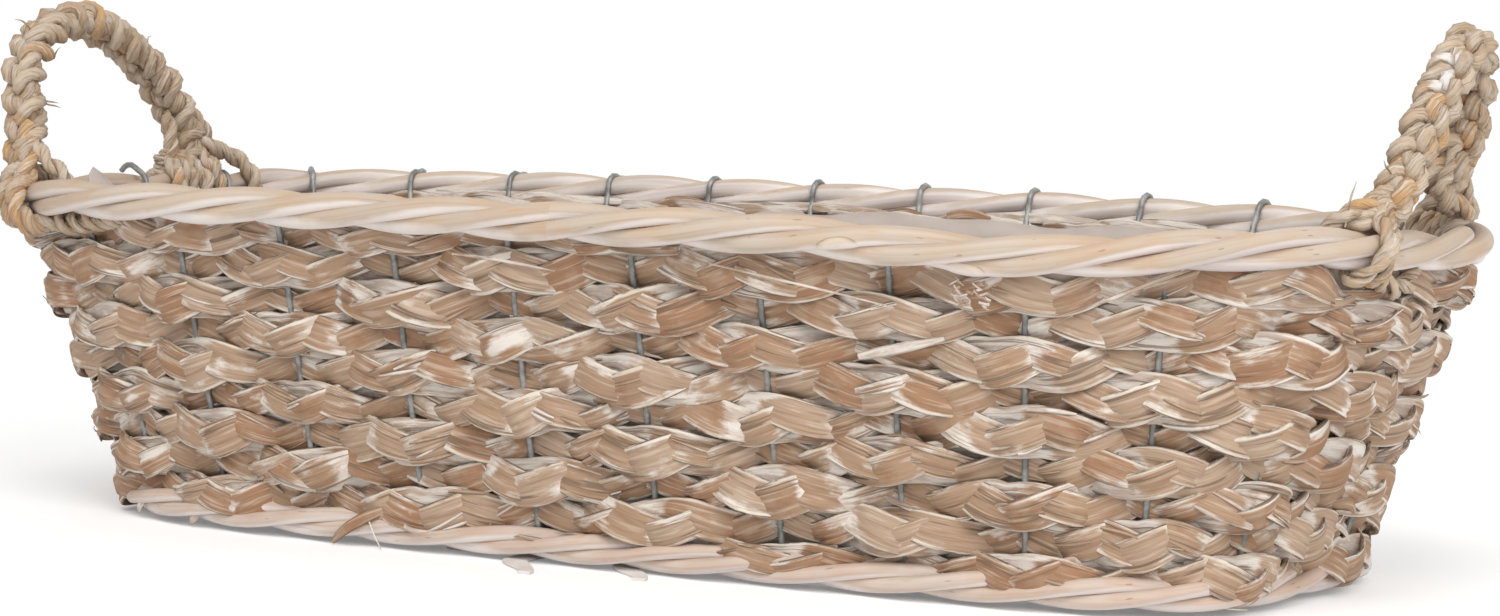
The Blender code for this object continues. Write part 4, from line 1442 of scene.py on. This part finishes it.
# %% Loose leaf ends and straws
LOOSE = (
    ((0.5, 0, 0.2), (0.044, 125.5, 8), (0.0594, 122.5, 11.5), (0.0789, 118.5, 11.5), (0.096, 115, 10)),
    ((0.9, 0.9, 0.1), (0.15, 121, 7), (0.1596, 126.5, 11), (0.17, 132, 10)),
    ((2.2, 0, 0.2), (0.084, 94, 6), (0.0973, 99.6, 10), (0.109, 105, 9)),
    ((0.7, 0.2, 0.2), (-0.034, 124, 7), (-0.0184, 123, 10), (-0.002, 119.5, 9)),
    ((2.4, 1, 0.7), (-0.064, 17, 6), (-0.07, 13.5, 11), (-0.0765, 8.5, 13), (-0.0812, 3.5, 13),
     (-0.0836, 0.8, 12)),
    ((0.4, 0, 0), (-0.07, 11, 11), (-0.068, 5.7, 13), (-0.0661, 2.0, 14), (-0.0653, 0.6, 15)),
    ((1.2, 0, 0.1), (-0.061, 12, 8), (-0.056, 9, 12), (-0.05, 9.5, 12)),
    ((1.0, 0, 0.4), (-0.201, 106, 6), (-0.2045, 104, 12), (-0.208, 104.5, 18)),
    ((1.3, 0.6, 0.6), (-0.198, 97, 6), (-0.201, 94, 11), (-0.204, 90, 15)),
    ((0.9, 0, 0.2), (-0.206, 84, 6), (-0.21, 83, 12), (-0.212, 81, 15)),
    ((1.5, 0.2, 0.5), (0.255, 34, 6), (0.2595, 36, 12), (0.262, 40, 17)),
    ((1.3, 0, 0.2), (0.256, 30, 6), (0.26, 27, 12), (0.262, 22, 15)),
    ((2.8, 1, 0.6), (0.252, 37, 6), (0.257, 38, 12), (0.26, 34, 13)),
    ((2.2, 1, 0.9), (0.486, 134.5, -3), (0.4805, 136, -3), (0.475, 135, -3)),
    ((2.6, 1, 0.9), (0.467, 135, -3), (0.46, 136.8, -3), (0.453, 134.8, -3)),
    ((2.4, 1, 1), (0.563, 136, 1.8), (0.556, 136.5, 1.8), (0.55, 136.2, 1.8)),
    ((2.6, 0, 0), (0.545, 135.5, 1.8), (0.518, 135.8, 1.8), (0.49, 135.5, 1.8)),
    ((2.6, 0, 0), (0.456, 135.5, 1.8), (0.44, 135.8, 1.8), (0.42, 135.5, 1.8)),
    ((2.8, 0, 0), (0.645, 136, 1.8), (0.61, 135.4, 1.8), (0.57, 134.8, 1.8)),
    ((2.6, 0, 0), (0.412, 135.5, 1.8), (0.4, 135.8, 1.8), (0.386, 135.5, 1.8)),
    ((1.9, 0, 0.1), (-0.1395, 6, 7), (-0.1416, 2.5, 10), (-0.1432, 0.9, 9)),
    ((1.9, 0, 0.1), (-0.1685, 8, 7), (-0.1705, 3.5, 10), (-0.1718, 1.5, 9)),
    ((1.0, 0.5, 0.4), (0.248, 118, 6), (0.252, 116, 11), (0.254, 112, 13)),
)
HALF_THICK = 0.0003


def loose_strip(skins, line, share, half_wide, sides, start, rub, tone):
    """Flat strip along a line that lies on the wall at a share of a turn."""
    thick, across = path_sides(line, wall_frame(np.array([share]), np.array([MIDDLE_HEIGHT]))[1][0])
    skins.roll(line, across, thick, *section(half_wide, HALF_THICK, sides, len(line)), start=start, rub=rub,
               tone=tone, edge=0.0)


skins = Skins()
for number, ((half_wide, rub, tone), *places) in enumerate(LOOSE):
    line = smooth_path(places_on_wall(places), 0.0015)
    narrow = half_wide / 1000 * np.sin(math.pi * (0.18 + 0.74 * np.linspace(0, 1, len(line)))) ** 0.7
    loose_strip(skins, line, places[len(places) // 2][0], narrow, 6, number * 0.2, rub, tone)
print(len(LOOSE), "loose strips")

# %% Scattered chips of leaf
CHIPS = 26
RIM_ROUND = 1458
for chip in range(CHIPS):
    share, height = draw.uniform(0.1120, 0.1215), draw.uniform(118, 128)
    angle, long = draw.uniform(-0.9, 0.9), draw.uniform(0.8, 2.2)
    step = long * math.cos(angle) / RIM_ROUND
    rise = long * math.sin(angle)
    ends = ((share - step, height - rise, 10.5), (share, height, 11.5), (share + step, height + rise, 10.5))
    line = smooth_path(places_on_wall(ends), 0.0008, 1)
    narrow = draw.uniform(0.0003, 0.0007)
    loose_strip(skins, line, share, narrow, 4, chip * 0.1, draw.choice([0.0, 1.0]), 0.1)
skins.finish("loose_leaf_ends", leaf_material, "basket", "leaf_plait", [])
print(CHIPS, "chips")
